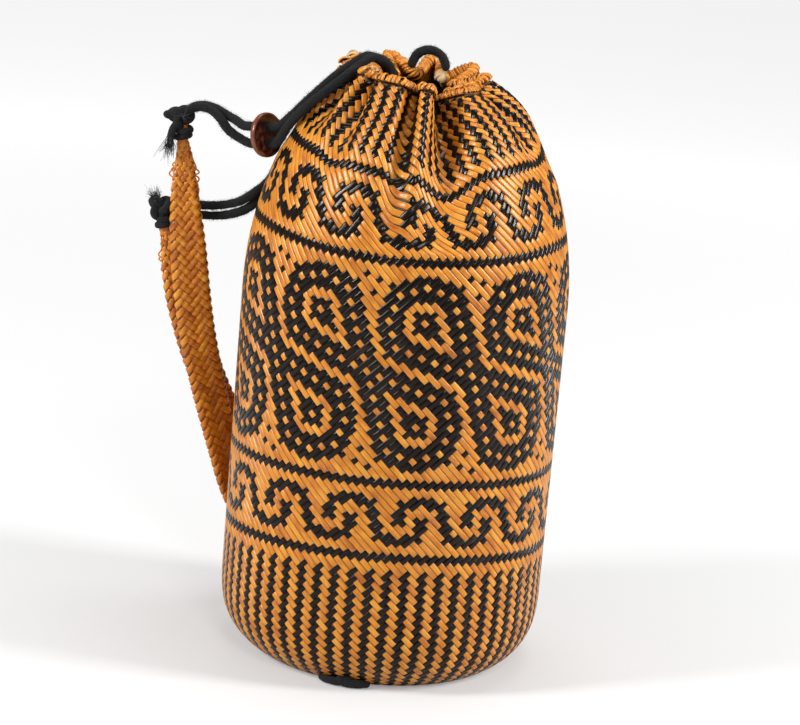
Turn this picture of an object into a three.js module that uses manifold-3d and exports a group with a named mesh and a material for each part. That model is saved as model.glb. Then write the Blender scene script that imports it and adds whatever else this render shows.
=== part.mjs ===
// Plaited drawstring pack basket with two shoulder straps.
// Millimetres, +Z up. The basket stands on z = 0 and its axis is the Z axis.
// Angles round the basket start at the front, -Y, and grow towards +X.

import * as THREE from "three";
import { mergeVertices } from "three/addons/utils/BufferGeometryUtils.js";
import Module from "manifold-3d";

const wasm = await Module();
wasm.setup();

// Fits
const seatGap = 0.3; // between pieces that touch
const pivotGap = 0.5; // between pieces that turn on each other

// Plaited body
const wallRadius = 110; // widest outer radius
const baseFlatRadius = 83; // flat underside
const heelHeight = 55; // the heel rounds into the wall over this height
const shoulderHeight = 245; // the wall starts to draw in here
const rimHeight = 402; // top of the wall on the ridges of the pleats
const mouthRadius = 57; // outer radius of the ridges at the rim
const wallThickness = 3.2;
const baseThickness = 4;

// Pleats of the gathered mouth
const pleatDepth = 24;
const pleatDipDepth = 8; // a valley's rim lies this much below the ridges
const pleatColumns = 6; // faces across one pleat

// Binding on the rim
const bindingHeight = 5.5;
const bindingOverhang = 1.4; // stands out past the wall on both sides

// Drawcord
const cordDiameter = 6;
const cordSides = 8;
const drawcordDrop = 14; // below the ridges of the rim
const drawcordHoleClearance = 0.4;

// Stopper that slides on the doubled drawcord
const stopperDiameter = 30;
const stopperThickness = 4;
const stopperDishDepth = 1.2; // hollow of its two faces
const stopperHoleClearance = 0.5;

// Shoulder straps
const strapWidth = 26;
const strapThickness = 5;
const strapTopWidth = 9;
const strapPinDiameter = 7; // its round foot, which turns in the lashing
const strapPinLength = 20;
const strapTopShare = 0.16; // the strap reaches its full width here
const strapFootShares = [0.66, 0.81]; // and draws in to the pin between these
const strapBowDepth = 66; // farthest that a strap's top stands off the wall
const strapPinStandoff = 4.4; // the pin's middle line, outside the wall's widest radius
const strapFootHeight = 9;

// Lashings that tie the straps to the heel
const lashingHeight = 17;
const lashingWidth = 18;
const lashingCover = 5; // cord outside the pin
const lashingSeat = 3; // the heel cuts this much off its inner end
const lashingClearOfFloor = 2;

// Knots of the straps' cords
const knotWidth = 18;
const knotHeight = 20;
const tailDiameter = 5;

// Knot of the base cord, under the heel
const baseKnotLength = 34;
const baseKnotDepth = 8.5; // stands this far out of the heel
const baseKnotSeat = 9.5; // the heel cuts this much off its inner side
const baseKnotHeight = 10;
const baseKnotAngle = -11;
const baseKnotClearOfFloor = 0.6;

// Cord routes, each point the middle of the two strands and half the way across them
const frontPairRoute = [
  { at: [-21.6, -11.5, 390.5], across: [1.8, -3.4, 0] },
  { at: [-21.9, -11.6, 396.2], across: [1.8, -3.4, 0] },
  { at: [-25.0, -13.3, 403.8], across: [1.7, -3.3, 0] },
  { at: [-31.0, -16.5, 408.3], across: [1.7, -3.3, 0.2] },
  { at: [-38.4, -20.5, 408.7], across: [1.7, -3.2, 0] },
  { at: [-52.0, -27.7, 398.4], across: [1.4, -3.1, -1.0] },
  { at: [-63.6, -30.8, 387.8], across: [0.6, -3.0, -1.6] },
  { at: [-74.6, -27.5, 376.4], across: [-0.4, -2.9, -1.9] },
  { at: [-85.4, -17.3, 363.0], across: [-0.4, -2.6, -2.6] },
  { at: [-93.6, -6.0, 351.0], across: [0.0, -0.6, -5.2] },
  { at: [-101.2, 0.1, 349.0], across: [0.0, -0.2, -5.8] },
  { at: [-106.0, 3.8, 348.0], across: [0.0, -0.2, -5.8] },
  { at: [-112.0, 8.4, 346.9], across: [0.0, -0.2, -5.8] },
];
const frontFreeRoute = [
  { at: [-112.0, 8.4, 346.9], across: [0.0, -0.2, -5.8] },
  { at: [-118.6, 12.8, 347.6], across: [-0.6, 0.1, -4.6] },
  { at: [-125.6, 16.4, 351.0], across: [-2.2, -0.8, -3.4] },
  { at: [-132.2, 19.4, 355.8], across: [-1.8, -2.9, -1.0] },
  { at: [-139.4, 21.8, 359.9], across: [-1.1, -3.3, -0.3] },
  { at: [-146.8, 23.6, 361.2], across: [-0.6, -3.3, -0.2] },
  { at: [-153.4, 24.8, 359.4], across: [-0.3, -3.3, -0.1] },
  { at: [-158.8, 25.4, 355.4], across: [-0.1, -3.3, 0.0] },
];
const backPairRoute = [
  { at: [-43.0, 44.4, 388.4], across: [2.4, 2.4, 0.0] },
  { at: [-50.0, 48.6, 377.6], across: [2.3, 2.5, -0.3] },
  { at: [-60.6, 53.0, 364.6], across: [1.9, 2.8, -0.6] },
  { at: [-72.6, 55.4, 350.6], across: [1.4, 2.9, -0.9] },
  { at: [-82.8, 52.0, 336.4], across: [0.9, 2.9, -1.4] },
  { at: [-91.7, 46.9, 322.6], across: [0.7, 2.9, -1.6] },
  { at: [-99.5, 40.8, 309.6], across: [0.5, 2.8, -1.8] },
  { at: [-107.0, 36.0, 301.0], across: [1.2, 1.6, -2.8] },
];
const backFreeRoute = [
  { at: [-107.0, 36.0, 301.0], across: [1.2, 1.6, -2.8] },
  { at: [-116.0, 36.6, 293.6], across: [1.6, 0.4, -3.0] },
  { at: [-127.0, 39.6, 289.0], across: [0.9, -0.2, -3.4] },
  { at: [-138.0, 42.4, 286.8], across: [0.3, -0.5, -3.4] },
  { at: [-149.0, 44.6, 286.4], across: [0.0, -1.0, -3.2] },
  { at: [-160.4, 46.0, 287.2], across: [0.0, -1.4, -3.0] },
  { at: [-170.0, 46.4, 286.6], across: [0.0, -1.4, -3.0] },
];
const pullLoopRoute = [
  [-8.6, 24.8, 399.0],
  [-10.1, 25.0, 405.4],
  [-8.4, 25.2, 411.9],
  [-3.8, 25.2, 416.5],
  [2.4, 25.1, 418.2],
  [8.6, 24.8, 416.5],
  [13.2, 24.3, 411.9],
  [14.9, 23.8, 405.4],
  [13.4, 23.2, 399.0],
];

// Tails of the straps' knots, each point from the middle of its knot
const frontTail = [
  [-6.2, -4.8, -8.2],
  [-9.0, -5.8, -19.2],
  [-9.4, -6.2, -30.2],
];
const backTail = [
  [-6.0, -1.4, 6.6],
  [-9.4, -2.4, 14.6],
];

// Strap routes: angle round the basket, share of the basket's height, share of the strap's bow
// outside the wall, and the turn of the strap's width about the vertical
const frontKnotPlace = { angle: -99.0, riseShare: 0.876, bowShare: 0.809 };
const frontStrapRoute = [
  { angle: -99.2, riseShare: 0.866, bowShare: 0.798, turn: 4 },
  { angle: -99.3, riseShare: 0.841, bowShare: 0.784, turn: 4 },
  { angle: -99.7, riseShare: 0.811, bowShare: 0.756, turn: 5 },
  { angle: -100.4, riseShare: 0.754, bowShare: 0.709, turn: 6 },
  { angle: -102.3, riseShare: 0.669, bowShare: 0.638, turn: 9 },
  { angle: -105.1, riseShare: 0.580, bowShare: 0.568, turn: 14 },
  { angle: -108.4, riseShare: 0.493, bowShare: 0.495, turn: 20 },
  { angle: -112.4, riseShare: 0.403, bowShare: 0.421, turn: 27 },
  { angle: -116.9, riseShare: 0.299, bowShare: 0.331, turn: 40 },
  { angle: -121.5, riseShare: 0.194, bowShare: 0.235, turn: 54 },
  { angle: -127.3, riseShare: 0.119, bowShare: 0.135, turn: 52 },
];
const backKnotPlace = { angle: -105.0, riseShare: 0.71, bowShare: 1.056 };
const backStrapRoute = [
  { angle: -105.2, riseShare: 0.699, bowShare: 1.037, turn: 2 },
  { angle: -105.5, riseShare: 0.677, bowShare: 1.006, turn: 2 },
  { angle: -106.0, riseShare: 0.652, bowShare: 0.950, turn: 3 },
  { angle: -107.1, riseShare: 0.612, bowShare: 0.854, turn: 6 },
  { angle: -109.2, riseShare: 0.552, bowShare: 0.749, turn: 12 },
  { angle: -112.9, riseShare: 0.468, bowShare: 0.619, turn: 20 },
  { angle: -118.4, riseShare: 0.378, bowShare: 0.477, turn: 28 },
  { angle: -126.6, riseShare: 0.289, bowShare: 0.352, turn: 36 },
  { angle: -137.4, riseShare: 0.194, bowShare: 0.257, turn: 42 },
  { angle: -146.7, riseShare: 0.119, bowShare: 0.169, turn: 32 },
];
const frontFootAngle = -135;
const backFootAngle = -158;

const degrees = Math.PI / 180;
const cordRadius = cordDiameter / 2;
const point = (p) => new THREE.Vector3(...p);
const polar = (angle, radius, z) =>
  new THREE.Vector3(radius * Math.sin(angle * degrees), -radius * Math.cos(angle * degrees), z);

// A closed body from rows of points, each row a closed ring.
// Its two ends are closed by fans, or its last row joins its first.
function skin(rows, joined = false) {
  const positions = [];
  const faces = [];
  const count = rows[0].length;
  rows.flat().forEach((p) => positions.push(p.x, p.y, p.z));
  const last = joined ? rows.length : rows.length - 1;
  for (let row = 0; row < last; row++) {
    const next = (row + 1) % rows.length;
    for (let i = 0; i < count; i++) {
      const j = (i + 1) % count;
      faces.push(row * count + i, row * count + j, next * count + j);
      faces.push(row * count + i, next * count + j, next * count + i);
    }
  }
  if (!joined) {
    [rows[0], rows[rows.length - 1]].forEach((ring, end) => {
      const middle = ring.reduce((sum, p) => sum.add(p), new THREE.Vector3());
      middle.divideScalar(count);
      const centre = positions.length / 3;
      positions.push(middle.x, middle.y, middle.z);
      const start = end === 0 ? 0 : (rows.length - 1) * count;
      for (let i = 0; i < count; i++) {
        const j = (i + 1) % count;
        const pair = end === 0 ? [start + j, start + i] : [start + i, start + j];
        faces.push(...pair, centre);
      }
    });
  }
  const geometry = new THREE.BufferGeometry();
  geometry.setAttribute("position", new THREE.Float32BufferAttribute(positions, 3));
  geometry.setIndex(faces);
  return facingOut(geometry);
}

// Turns the faces round when they point into the body
function facingOut(geometry) {
  const place = geometry.getAttribute("position");
  const index = geometry.getIndex();
  const [a, b, c] = [0, 1, 2].map(() => new THREE.Vector3());
  let volume = 0;
  for (let i = 0; i < index.count; i += 3) {
    a.fromBufferAttribute(place, index.getX(i));
    b.fromBufferAttribute(place, index.getX(i + 1));
    c.fromBufferAttribute(place, index.getX(i + 2));
    volume += a.dot(b.cross(c));
  }
  if (volume < 0) {
    for (let i = 0; i < index.count; i += 3) {
      const first = index.getX(i);
      index.setX(i, index.getX(i + 1));
      index.setX(i + 1, first);
    }
  }
  return geometry;
}

function solid(geometry) {
  const bare = geometry.clone();
  bare.deleteAttribute("normal");
  bare.deleteAttribute("uv");
  const merged = mergeVertices(bare);
  return new wasm.Manifold(
    new wasm.Mesh({
      numProp: 3,
      vertProperties: new Float32Array(merged.getAttribute("position").array),
      triVerts: new Uint32Array(merged.getIndex().array),
    }),
  );
}

function geometryOf(manifold) {
  const mesh = manifold.getMesh();
  const geometry = new THREE.BufferGeometry();
  geometry.setAttribute("position", new THREE.Float32BufferAttribute(mesh.vertProperties, 3));
  geometry.setIndex([...mesh.triVerts]);
  return geometry;
}

// Outer radius of the body before it is pleated
function profileRadius(z) {
  if (z < heelHeight) {
    const rise = Math.max(z, 0) / heelHeight;
    const roundness = Math.pow(1 - Math.pow(1 - rise, 3.2), 0.85);
    return baseFlatRadius + (wallRadius - baseFlatRadius) * roundness;
  }
  if (z > shoulderHeight) {
    const rise = (z - shoulderHeight) / (rimHeight - shoulderHeight);
    return mouthRadius + (wallRadius - mouthRadius) * (1 - Math.pow(rise, 2.15));
  }
  return wallRadius;
}

// Pleats: middle and half width in degrees, share of the pleat depth,
// and the share of the shoulder's rise at which the valley starts
const pleats = [
  { middle: 10, half: 20, depthShare: 1.5, startShare: 0.36 },
  { middle: -19, half: 9, depthShare: 0.92, startShare: 0.66 },
  { middle: -38, half: 10, depthShare: 0.92, startShare: 0.64 },
  { middle: -62, half: 14, depthShare: 1, startShare: 0.7 },
  { middle: -97, half: 19, depthShare: 1, startShare: 0.6 },
  { middle: -135, half: 17, depthShare: 1, startShare: 0.6 },
  { middle: -170, half: 17, depthShare: 1, startShare: 0.58 },
  { middle: -205, half: 17, depthShare: 1, startShare: 0.6 },
  { middle: -238, half: 16, depthShare: 0.95, startShare: 0.62 },
  { middle: -270, half: 16, depthShare: 1, startShare: 0.58 },
  { middle: -301, half: 15, depthShare: 0.95, startShare: 0.62 },
];

const exitPleat = pleats[3];

// How deep in a valley an angle lies, from 0 on a ridge to 1, with its pleat
function valleyAt(angle) {
  for (const pleat of pleats) {
    const off = ((angle - pleat.middle + 540) % 360) - 180;
    if (Math.abs(off) < pleat.half) {
      return { pleat, depth: Math.cos((Math.PI / 2) * (off / pleat.half)) ** 2 };
    }
  }
  return { pleat: pleats[0], depth: 0 };
}

// A point of the body's outer face, or that much inside it
function wallPoint(angle, z, inset) {
  const { pleat, depth } = valleyAt(angle);
  const rise = (z - shoulderHeight) / (rimHeight - shoulderHeight);
  const drawn = Math.max(0, (rise - pleat.startShare) / (1 - pleat.startShare));
  const gather = depth * Math.pow(drawn, 1.2);
  const radius = profileRadius(z) - inset - pleatDepth * pleat.depthShare * gather;
  return polar(angle, radius, z - pleatDipDepth * gather * drawn);
}

// The angles of the body's columns: even steps across each pleat
const columnAngles = pleats
  .flatMap((pleat) =>
    Array.from(
      { length: pleatColumns },
      (_, i) => pleat.middle - pleat.half + (2 * pleat.half * i) / pleatColumns,
    ),
  )
  .concat(pleats[0].middle + pleats[0].half)
  .sort((a, b) => a - b);

const heelShares = [0.04, 0.12, 0.26, 0.46, 0.7, 1];
const innerHeelShares = [0.2, 0.46, 1];
const shoulderShares = [0, 0.2, 0.36, 0.48, 0.58, 0.67, 0.76, 0.84, 0.92, 1];
const shoulderRise = rimHeight - shoulderHeight;

function row(z, inset) {
  return columnAngles.map((angle) => wallPoint(angle, z, inset));
}

// A ring of the body's columns pulled in to a share of its radius
function flatRing(z, radius) {
  return columnAngles.map((angle) => polar(angle, radius, z));
}

function bodyGeometry() {
  const outer = [
    flatRing(0, baseFlatRadius),
    ...heelShares.map((share) => row(share * heelHeight, 0)),
    ...shoulderShares.map((share) => row(shoulderHeight + share * shoulderRise, 0)),
  ];
  const inner = [
    ...shoulderShares.map((share) => row(shoulderHeight + share * shoulderRise, wallThickness)),
  ].reverse();
  const innerHeel = innerHeelShares
    .map((share) => row(share * heelHeight, wallThickness))
    .reverse();
  const floor = flatRing(baseThickness, baseFlatRadius - wallThickness);
  return skin([...outer, ...inner, ...innerHeel, floor]);
}

// The rim's binding: a cap on the wall's edge, rounded on top
function bindingGeometry() {
  const half = wallThickness / 2 + bindingOverhang;
  const section = [
    [-half, 0],
    [half, 0],
    [half, bindingHeight * 0.55],
    [half * 0.45, bindingHeight],
    [-half * 0.45, bindingHeight],
    [-half, bindingHeight * 0.55],
  ];
  const rows = section.map(([across, up]) =>
    columnAngles.map((angle) => {
      const p = wallPoint(angle, rimHeight, wallThickness / 2 - across);
      p.z += seatGap + up;
      return p;
    }),
  );
  return skin(rows, true);
}

// Body of revolution that follows the heel a seat's gap outside it
function grownHeel() {
  const outline = [new THREE.Vector2(0, -seatGap)];
  outline.push(new THREE.Vector2(baseFlatRadius + seatGap, -seatGap));
  heelShares.forEach((share) => {
    const z = share * heelHeight;
    outline.push(new THREE.Vector2(profileRadius(z) + seatGap, z));
  });
  outline.push(new THREE.Vector2(0, heelHeight));
  return solid(new THREE.LatheGeometry(outline, 2 * columnAngles.length).rotateX(90 * degrees));
}

// A round cord along a smooth line through its points
function cordGeometry(points, diameter, steps) {
  const section = new THREE.Shape();
  section.absarc(0, 0, diameter / 2, 0, 2 * Math.PI);
  return new THREE.ExtrudeGeometry(section, {
    steps,
    bevelEnabled: false,
    curveSegments: cordSides / 2,
    extrudePath: new THREE.CatmullRomCurve3(points, false, "centripetal"),
  });
}

function ball(centre, diameter) {
  const sphere = new THREE.SphereGeometry(diameter / 2, cordSides, cordSides - 2);
  return solid(sphere.translate(centre.x, centre.y, centre.z));
}

function strand(route, side) {
  return route.map(({ at, across }) => point(at).addScaledVector(point(across), side));
}

// Shortens a line of points at its end, or at its start
function cutEnd(points, by) {
  const [before, end] = points.slice(-2);
  const cut = end.clone().addScaledVector(before.clone().sub(end).normalize(), by);
  return [...points.slice(0, -1), cut];
}

function cutStart(points, by) {
  return cutEnd([...points].reverse(), by).reverse();
}

const stepsAlong = (points) => {
  const length = new THREE.CatmullRomCurve3(points, false, "centripetal").getLength();
  return Math.max(4, Math.round(length / (2.2 * cordDiameter)));
};

// Drawcord threaded through the pleats: out through a flank, across a valley and in again.
// Both its ends turn up inside the valley where the near pair leaves.
const drawcordHeight = rimHeight - drawcordDrop;

// How an end comes in from the ring, from the mouth outwards: shares of the pleat's half width
// and of the ring's radius, and the drop below the ring in shares of the cord's diameter
const drawcordEnds = [
  { halfShare: 0.57, radiusShare: 0.56, dropShare: 1.2 },
  { halfShare: 0.72, radiusShare: 0.7, dropShare: 1.5 },
  { halfShare: 1.1, radiusShare: 0.88, dropShare: 0.8 },
];

function drawcordPoints() {
  const radius = mouthRadius - cordRadius;
  const ring = [];
  const open = 1.75 * exitPleat.half;
  const turns = 22;
  for (let i = 0; i <= turns; i++) {
    const angle = exitPleat.middle + open + ((360 - 2 * open) * i) / turns;
    ring.push(polar(angle, radius, drawcordHeight));
  }
  const below = new THREE.Vector3(0, 0, -cordDiameter / 3);
  const entry = (side) => [
    strand(frontPairRoute, side)[0],
    strand(frontPairRoute, side)[0].add(below),
    ...drawcordEnds.map(({ halfShare, radiusShare, dropShare }) =>
      polar(
        exitPleat.middle + halfShare * side * exitPleat.half,
        radiusShare * radius,
        drawcordHeight - dropShare * cordDiameter,
      ),
    ),
  ];
  return [...entry(1), ...ring, ...entry(-1).reverse()];
}

function drawcordGeometry(diameter, points) {
  const steps = 60;
  return cordGeometry(points, diameter, steps);
}

// The space that a knot fills, grown by a gap for what enters it
function knotSpace(centre, gap) {
  const body = new THREE.SphereGeometry(1, 12, 8);
  body.scale(knotWidth / 2 + gap, knotWidth / 2 + gap, knotHeight / 2 + gap);
  return solid(body.translate(...centre));
}

// A knot of cord with its tail
function knotGeometry(centre, tail) {
  const points = [centre, ...tail.map((from) => centre.clone().add(point(from)))];
  const steps = 5;
  const end = solid(cordGeometry(points, tailDiameter, steps));
  return geometryOf(knotSpace(centre, 0).add(end));
}

// A lump of lashing or knotted cord seated on the heel of the basket
function heelLump(angle, radius, z, reach, width, height) {
  const lump = new THREE.SphereGeometry(1, 16, 10);
  lump.rotateX(90 * degrees);
  lump.scale(width / 2, reach / 2, height / 2);
  lump.rotateZ(angle * degrees);
  lump.translate(...polar(angle, radius, z));
  return solid(lump).subtract(grownHeel());
}

// The middle of a strap, or of its knot, by its place outside the wall
function strapPoint({ angle, riseShare, bowShare }) {
  return polar(angle, wallRadius + bowShare * strapBowDepth, riseShare * rimHeight);
}

const pinRadius = wallRadius + strapPinStandoff;

// The lower end of a strap's pin
function footPoint(footAngle) {
  return polar(footAngle, pinRadius, strapFootHeight);
}

// The line that a strap swings about, from its foot to where its cord leaves the basket
function swingAxis(freeRoute, footAngle) {
  return point(freeRoute[0].at).sub(footPoint(footAngle)).normalize();
}

// A flat strap along its route: a rounded section that turns, widens and ends in a round pin
function strapGeometry(route, footAngle, axis, knot) {
  const pin = footPoint(footAngle);
  const middle = [
    ...route.map(strapPoint),
    pin.clone().addScaledVector(axis, strapPinLength),
    pin.clone().addScaledVector(axis, strapPinLength / 2),
    pin,
  ];
  const turns = [...route.map(({ turn }) => turn), ...[0, 0, 0].fill(route.at(-1).turn)];
  const line = new THREE.CatmullRomCurve3(middle, false, "centripetal");
  const stations = 28;
  const sides = 10;
  const rows = [];
  for (let i = 0; i <= stations; i++) {
    const share = i / stations;
    const place = share * (middle.length - 1);
    const low = Math.min(Math.floor(place), middle.length - 2);
    const turn = THREE.MathUtils.lerp(turns[low], turns[low + 1], place - low) * degrees;
    const centre = line.getPoint(share);
    const along = line.getTangent(share);
    const across = new THREE.Vector3(Math.cos(turn), Math.sin(turn), 0);
    across.addScaledVector(along, -across.dot(along)).normalize();
    const out = new THREE.Vector3().crossVectors(along, across);
    const top = THREE.MathUtils.smoothstep(share, 0, strapTopShare);
    const bottom = THREE.MathUtils.smoothstep(share, ...strapFootShares);
    const broad = THREE.MathUtils.lerp(strapTopWidth, strapWidth, top);
    const width = THREE.MathUtils.lerp(broad, strapPinDiameter, bottom);
    const thickness = THREE.MathUtils.lerp(strapThickness, strapPinDiameter, bottom);
    const squareness = THREE.MathUtils.lerp(0.55, 1, bottom);
    rows.push(
      Array.from({ length: sides }, (_, side) => {
        const a = (2 * Math.PI * (side + 0.5)) / sides;
        const x = Math.sign(Math.cos(a)) * Math.abs(Math.cos(a)) ** squareness;
        const y = Math.sign(Math.sin(a)) * Math.abs(Math.sin(a)) ** squareness;
        return centre
          .clone()
          .addScaledVector(across, (x * width) / 2)
          .addScaledVector(out, (y * thickness) / 2);
      }),
    );
  }
  return geometryOf(solid(skin(rows)).subtract(knotSpace(knot, seatGap)));
}

// A lashing on the heel, bored for the strap's pin
function lashingGeometry(footAngle, axis) {
  const pin = footPoint(footAngle);
  const middle = lashingClearOfFloor + lashingHeight / 2;
  const outer = pinRadius + strapPinDiameter / 2 + lashingCover;
  const inner = profileRadius(middle) - lashingSeat;
  const lump = heelLump(
    footAngle, (outer + inner) / 2, middle, outer - inner, lashingWidth, lashingHeight,
  );
  const ends = [
    pin.clone().addScaledVector(axis, -pivotGap),
    pin.clone().addScaledVector(axis, strapPinLength),
  ];
  const bore = solid(cordGeometry(ends, strapPinDiameter + 2 * pivotGap, 1));
  return geometryOf(lump.subtract(bore));
}

// The stopper: a dished disc with a hole for each strand
const stopperPlace = frontPairRoute.length - 3;
const stopperCentre = point(frontPairRoute[stopperPlace].at);
const stopperAlong = point(frontPairRoute.at(-1).at).sub(stopperCentre).normalize();

function stopperGeometry() {
  const radius = stopperDiameter / 2;
  const half = stopperThickness / 2;
  const outline = [
    [0, -half + stopperDishDepth],
    [radius * 0.62, -half + stopperDishDepth * 0.5],
    [radius * 0.92, -half],
    [radius, -half * 0.5],
    [radius, half * 0.5],
    [radius * 0.92, half],
    [radius * 0.62, half - stopperDishDepth * 0.5],
    [0, half - stopperDishDepth],
  ].map((p) => new THREE.Vector2(...p));
  const disc = new THREE.LatheGeometry(outline, 28);
  const turn = new THREE.Quaternion();
  turn.setFromUnitVectors(new THREE.Vector3(0, 1, 0), stopperAlong);
  disc.applyQuaternion(turn);
  disc.translate(...stopperCentre);
  let body = solid(disc);
  [1, -1].forEach((side) => {
    const middle = strand(frontPairRoute, side)[stopperPlace];
    const reach = stopperAlong.clone().multiplyScalar(stopperThickness * 2);
    const ends = [middle.clone().sub(reach), middle.clone().add(reach)];
    body = body.subtract(solid(cordGeometry(ends, cordDiameter + 2 * stopperHoleClearance, 1)));
  });
  return geometryOf(body);
}

// A strand that lies on the basket, cut back from the ball at the start of the free one
function lyingStrand(route, side) {
  const points = cutStart(cutEnd(strand(route, side), cordRadius + pivotGap), seatGap);
  return cordGeometry(points, cordDiameter, stepsAlong(points));
}

// A free strand: its start is a ball that turns on the swing axis, its end enters the knot
function freeStrand(route, side, knot) {
  const points = strand(route, side);
  const cord = solid(cordGeometry(points, cordDiameter, stepsAlong(points)));
  return geometryOf(cord.add(ball(points[0], cordDiameter)).subtract(knotSpace(knot, seatGap)));
}

// The slack loop of cord that stands in the mouth, with a ball at each foot
function pullLoopGeometry() {
  const points = pullLoopRoute.map(point);
  const steps = 10;
  const loop = solid(cordGeometry(points, cordDiameter, steps));
  return geometryOf(loop.add(ball(points[0], cordDiameter)).add(ball(points.at(-1), cordDiameter)));
}

const rattan = { color: 0xd98a35, roughness: 0.42, metalness: 0 };
const cane = { color: 0xc97a2c, roughness: 0.5, metalness: 0 };
const blackCord = { color: 0x17181b, roughness: 0.95, metalness: 0 };
const shell = { color: 0x4a2415, roughness: 0.35, metalness: 0 };

const basket = new THREE.Group();

function add(name, geometry, finish) {
  const bare = geometry.clone();
  bare.deleteAttribute("normal");
  bare.deleteAttribute("uv");
  const mesh = new THREE.Mesh(mergeVertices(bare), new THREE.MeshStandardMaterial(finish));
  mesh.name = name;
  basket.add(mesh);
}

const drawcord = drawcordPoints();
const drawcordHole = solid(drawcordGeometry(cordDiameter + 2 * drawcordHoleClearance, drawcord));
add("basket_body", geometryOf(solid(bodyGeometry()).subtract(drawcordHole)), rattan);
add("rim_binding", bindingGeometry(), cane);
add("drawcord_in_rim", drawcordGeometry(cordDiameter, drawcord), blackCord);
add("pull_loop", pullLoopGeometry(), blackCord);
add("stopper", stopperGeometry(), shell);

const baseKnotMiddle = baseKnotClearOfFloor + baseKnotHeight / 2;
const baseKnotRadius = profileRadius(baseKnotMiddle) + (baseKnotDepth - baseKnotSeat) / 2;
const baseKnotReach = baseKnotDepth + baseKnotSeat;
const baseKnot = heelLump(
  baseKnotAngle, baseKnotRadius, baseKnotMiddle, baseKnotReach, baseKnotLength, baseKnotHeight,
);
add("base_knot", geometryOf(baseKnot), blackCord);

[
  {
    name: "front",
    pairRoute: frontPairRoute,
    freeRoute: frontFreeRoute,
    strapRoute: frontStrapRoute,
    footAngle: frontFootAngle,
    knotPlace: frontKnotPlace,
    tail: frontTail,
  },
  {
    name: "back",
    pairRoute: backPairRoute,
    freeRoute: backFreeRoute,
    strapRoute: backStrapRoute,
    footAngle: backFootAngle,
    knotPlace: backKnotPlace,
    tail: backTail,
  },
].forEach(({ name, pairRoute, freeRoute, strapRoute, footAngle, knotPlace, tail }) => {
  const axis = swingAxis(freeRoute, footAngle);
  const knot = strapPoint(knotPlace);
  [["upper", -1], ["lower", 1]].forEach(([level, side]) => {
    add(`${name}_cord_${level}`, lyingStrand(pairRoute, side), blackCord);
    add(`${name}_strap_cord_${level}`, freeStrand(freeRoute, side, knot), blackCord);
  });
  add(`${name}_strap_knot`, knotGeometry(knot, tail), blackCord);
  add(`${name}_strap`, strapGeometry(strapRoute, footAngle, axis, knot), cane);
  add(`${name}_strap_lashing`, lashingGeometry(footAngle, axis), blackCord);
});

export default basket;
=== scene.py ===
# Plaited drawstring pack basket with two shoulder straps.
# Sizes are in millimetres until a mesh is made, and in metres from there on. Angles round the
# basket start at the front, -Y, and grow towards +X.

import math
from functools import partial

import bpy
import numpy as np
from mathutils import Matrix, Vector


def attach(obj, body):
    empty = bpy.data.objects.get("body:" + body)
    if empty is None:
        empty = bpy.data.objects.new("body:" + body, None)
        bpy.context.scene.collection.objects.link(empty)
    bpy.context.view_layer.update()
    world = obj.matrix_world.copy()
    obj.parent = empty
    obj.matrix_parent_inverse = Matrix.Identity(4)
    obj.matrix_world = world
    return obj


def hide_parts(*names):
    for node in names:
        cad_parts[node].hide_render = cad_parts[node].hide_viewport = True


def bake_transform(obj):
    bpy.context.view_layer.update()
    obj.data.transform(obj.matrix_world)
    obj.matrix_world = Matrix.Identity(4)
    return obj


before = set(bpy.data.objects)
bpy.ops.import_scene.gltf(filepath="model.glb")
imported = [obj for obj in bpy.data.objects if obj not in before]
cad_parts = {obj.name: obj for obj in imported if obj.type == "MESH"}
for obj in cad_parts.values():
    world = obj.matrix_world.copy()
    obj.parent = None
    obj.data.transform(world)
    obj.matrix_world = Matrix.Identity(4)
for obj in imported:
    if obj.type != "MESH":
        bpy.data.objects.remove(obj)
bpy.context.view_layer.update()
collection = bpy.context.scene.collection
MM = 0.001

# Camera
# It looks a little down on the front of the basket, and is rolled so that the basket leans to
# the right, as it does in the photograph.
def added(name, data):
    """A new object with this data, in the scene."""
    thing = bpy.data.objects.new(name, data)
    collection.objects.link(thing)
    return thing


camera_elevation = math.radians(13.7)
camera_roll = math.radians(5.0)
camera_distance = 1.75
camera_target = Vector((0.0005, 0.0, 0.2015))
camera_data = bpy.data.cameras.new("camera")
camera_data.lens = 115.8
camera = added("camera", camera_data)
camera_away = Vector((0, -math.cos(camera_elevation), math.sin(camera_elevation)))
camera.location = camera_target + camera_distance * camera_away
camera_turn = camera_away.to_track_quat("Z", "Y").to_matrix()
camera.rotation_euler = (camera_turn @ Matrix.Rotation(camera_roll, 3, "Z")).to_euler()
bpy.context.scene.camera = camera


# Knots of the straps' cords
# Each strap's top loop is tied to its doubled cord with one lump of a knot in 6 mm black cotton
# cord. One end is cut short, and the other has frayed into loose threads.
def travel(line):
    """How far along the line each of its points lies."""
    return np.concatenate([[0], np.cumsum(np.linalg.norm(np.diff(line, axis=0), axis=1))])


def unit(ways):
    return ways / np.linalg.norm(ways, axis=-1, keepdims=True)


def spaced(line, step):
    """The same line as evenly spaced points, about step apart."""
    travelled = travel(line)
    count = max(4, int(round(travelled[-1] / step)) + 1)
    places = np.linspace(0, travelled[-1], count)
    return np.stack([np.interp(places, travelled, line[:, k]) for k in range(3)], axis=1)


def smooth_line(points, step):
    """Evenly spaced points on a smooth line through the given ones."""
    p = np.array(points, float)
    held = np.vstack([2 * p[0] - p[1], p, 2 * p[-1] - p[-2]])
    t = np.linspace(0, 1, 16, endpoint=False)[:, None]
    spans = []
    for a, b, c, d in zip(held, held[1:], held[2:], held[3:]):
        bend = 2 * a - 5 * b + 4 * c - d
        spans.append(0.5 * (2 * b + (c - a) * t + bend * t**2 + (3 * b - a - 3 * c + d) * t**3))
    return spaced(np.vstack(spans + [p[-1:]]), step)


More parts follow.
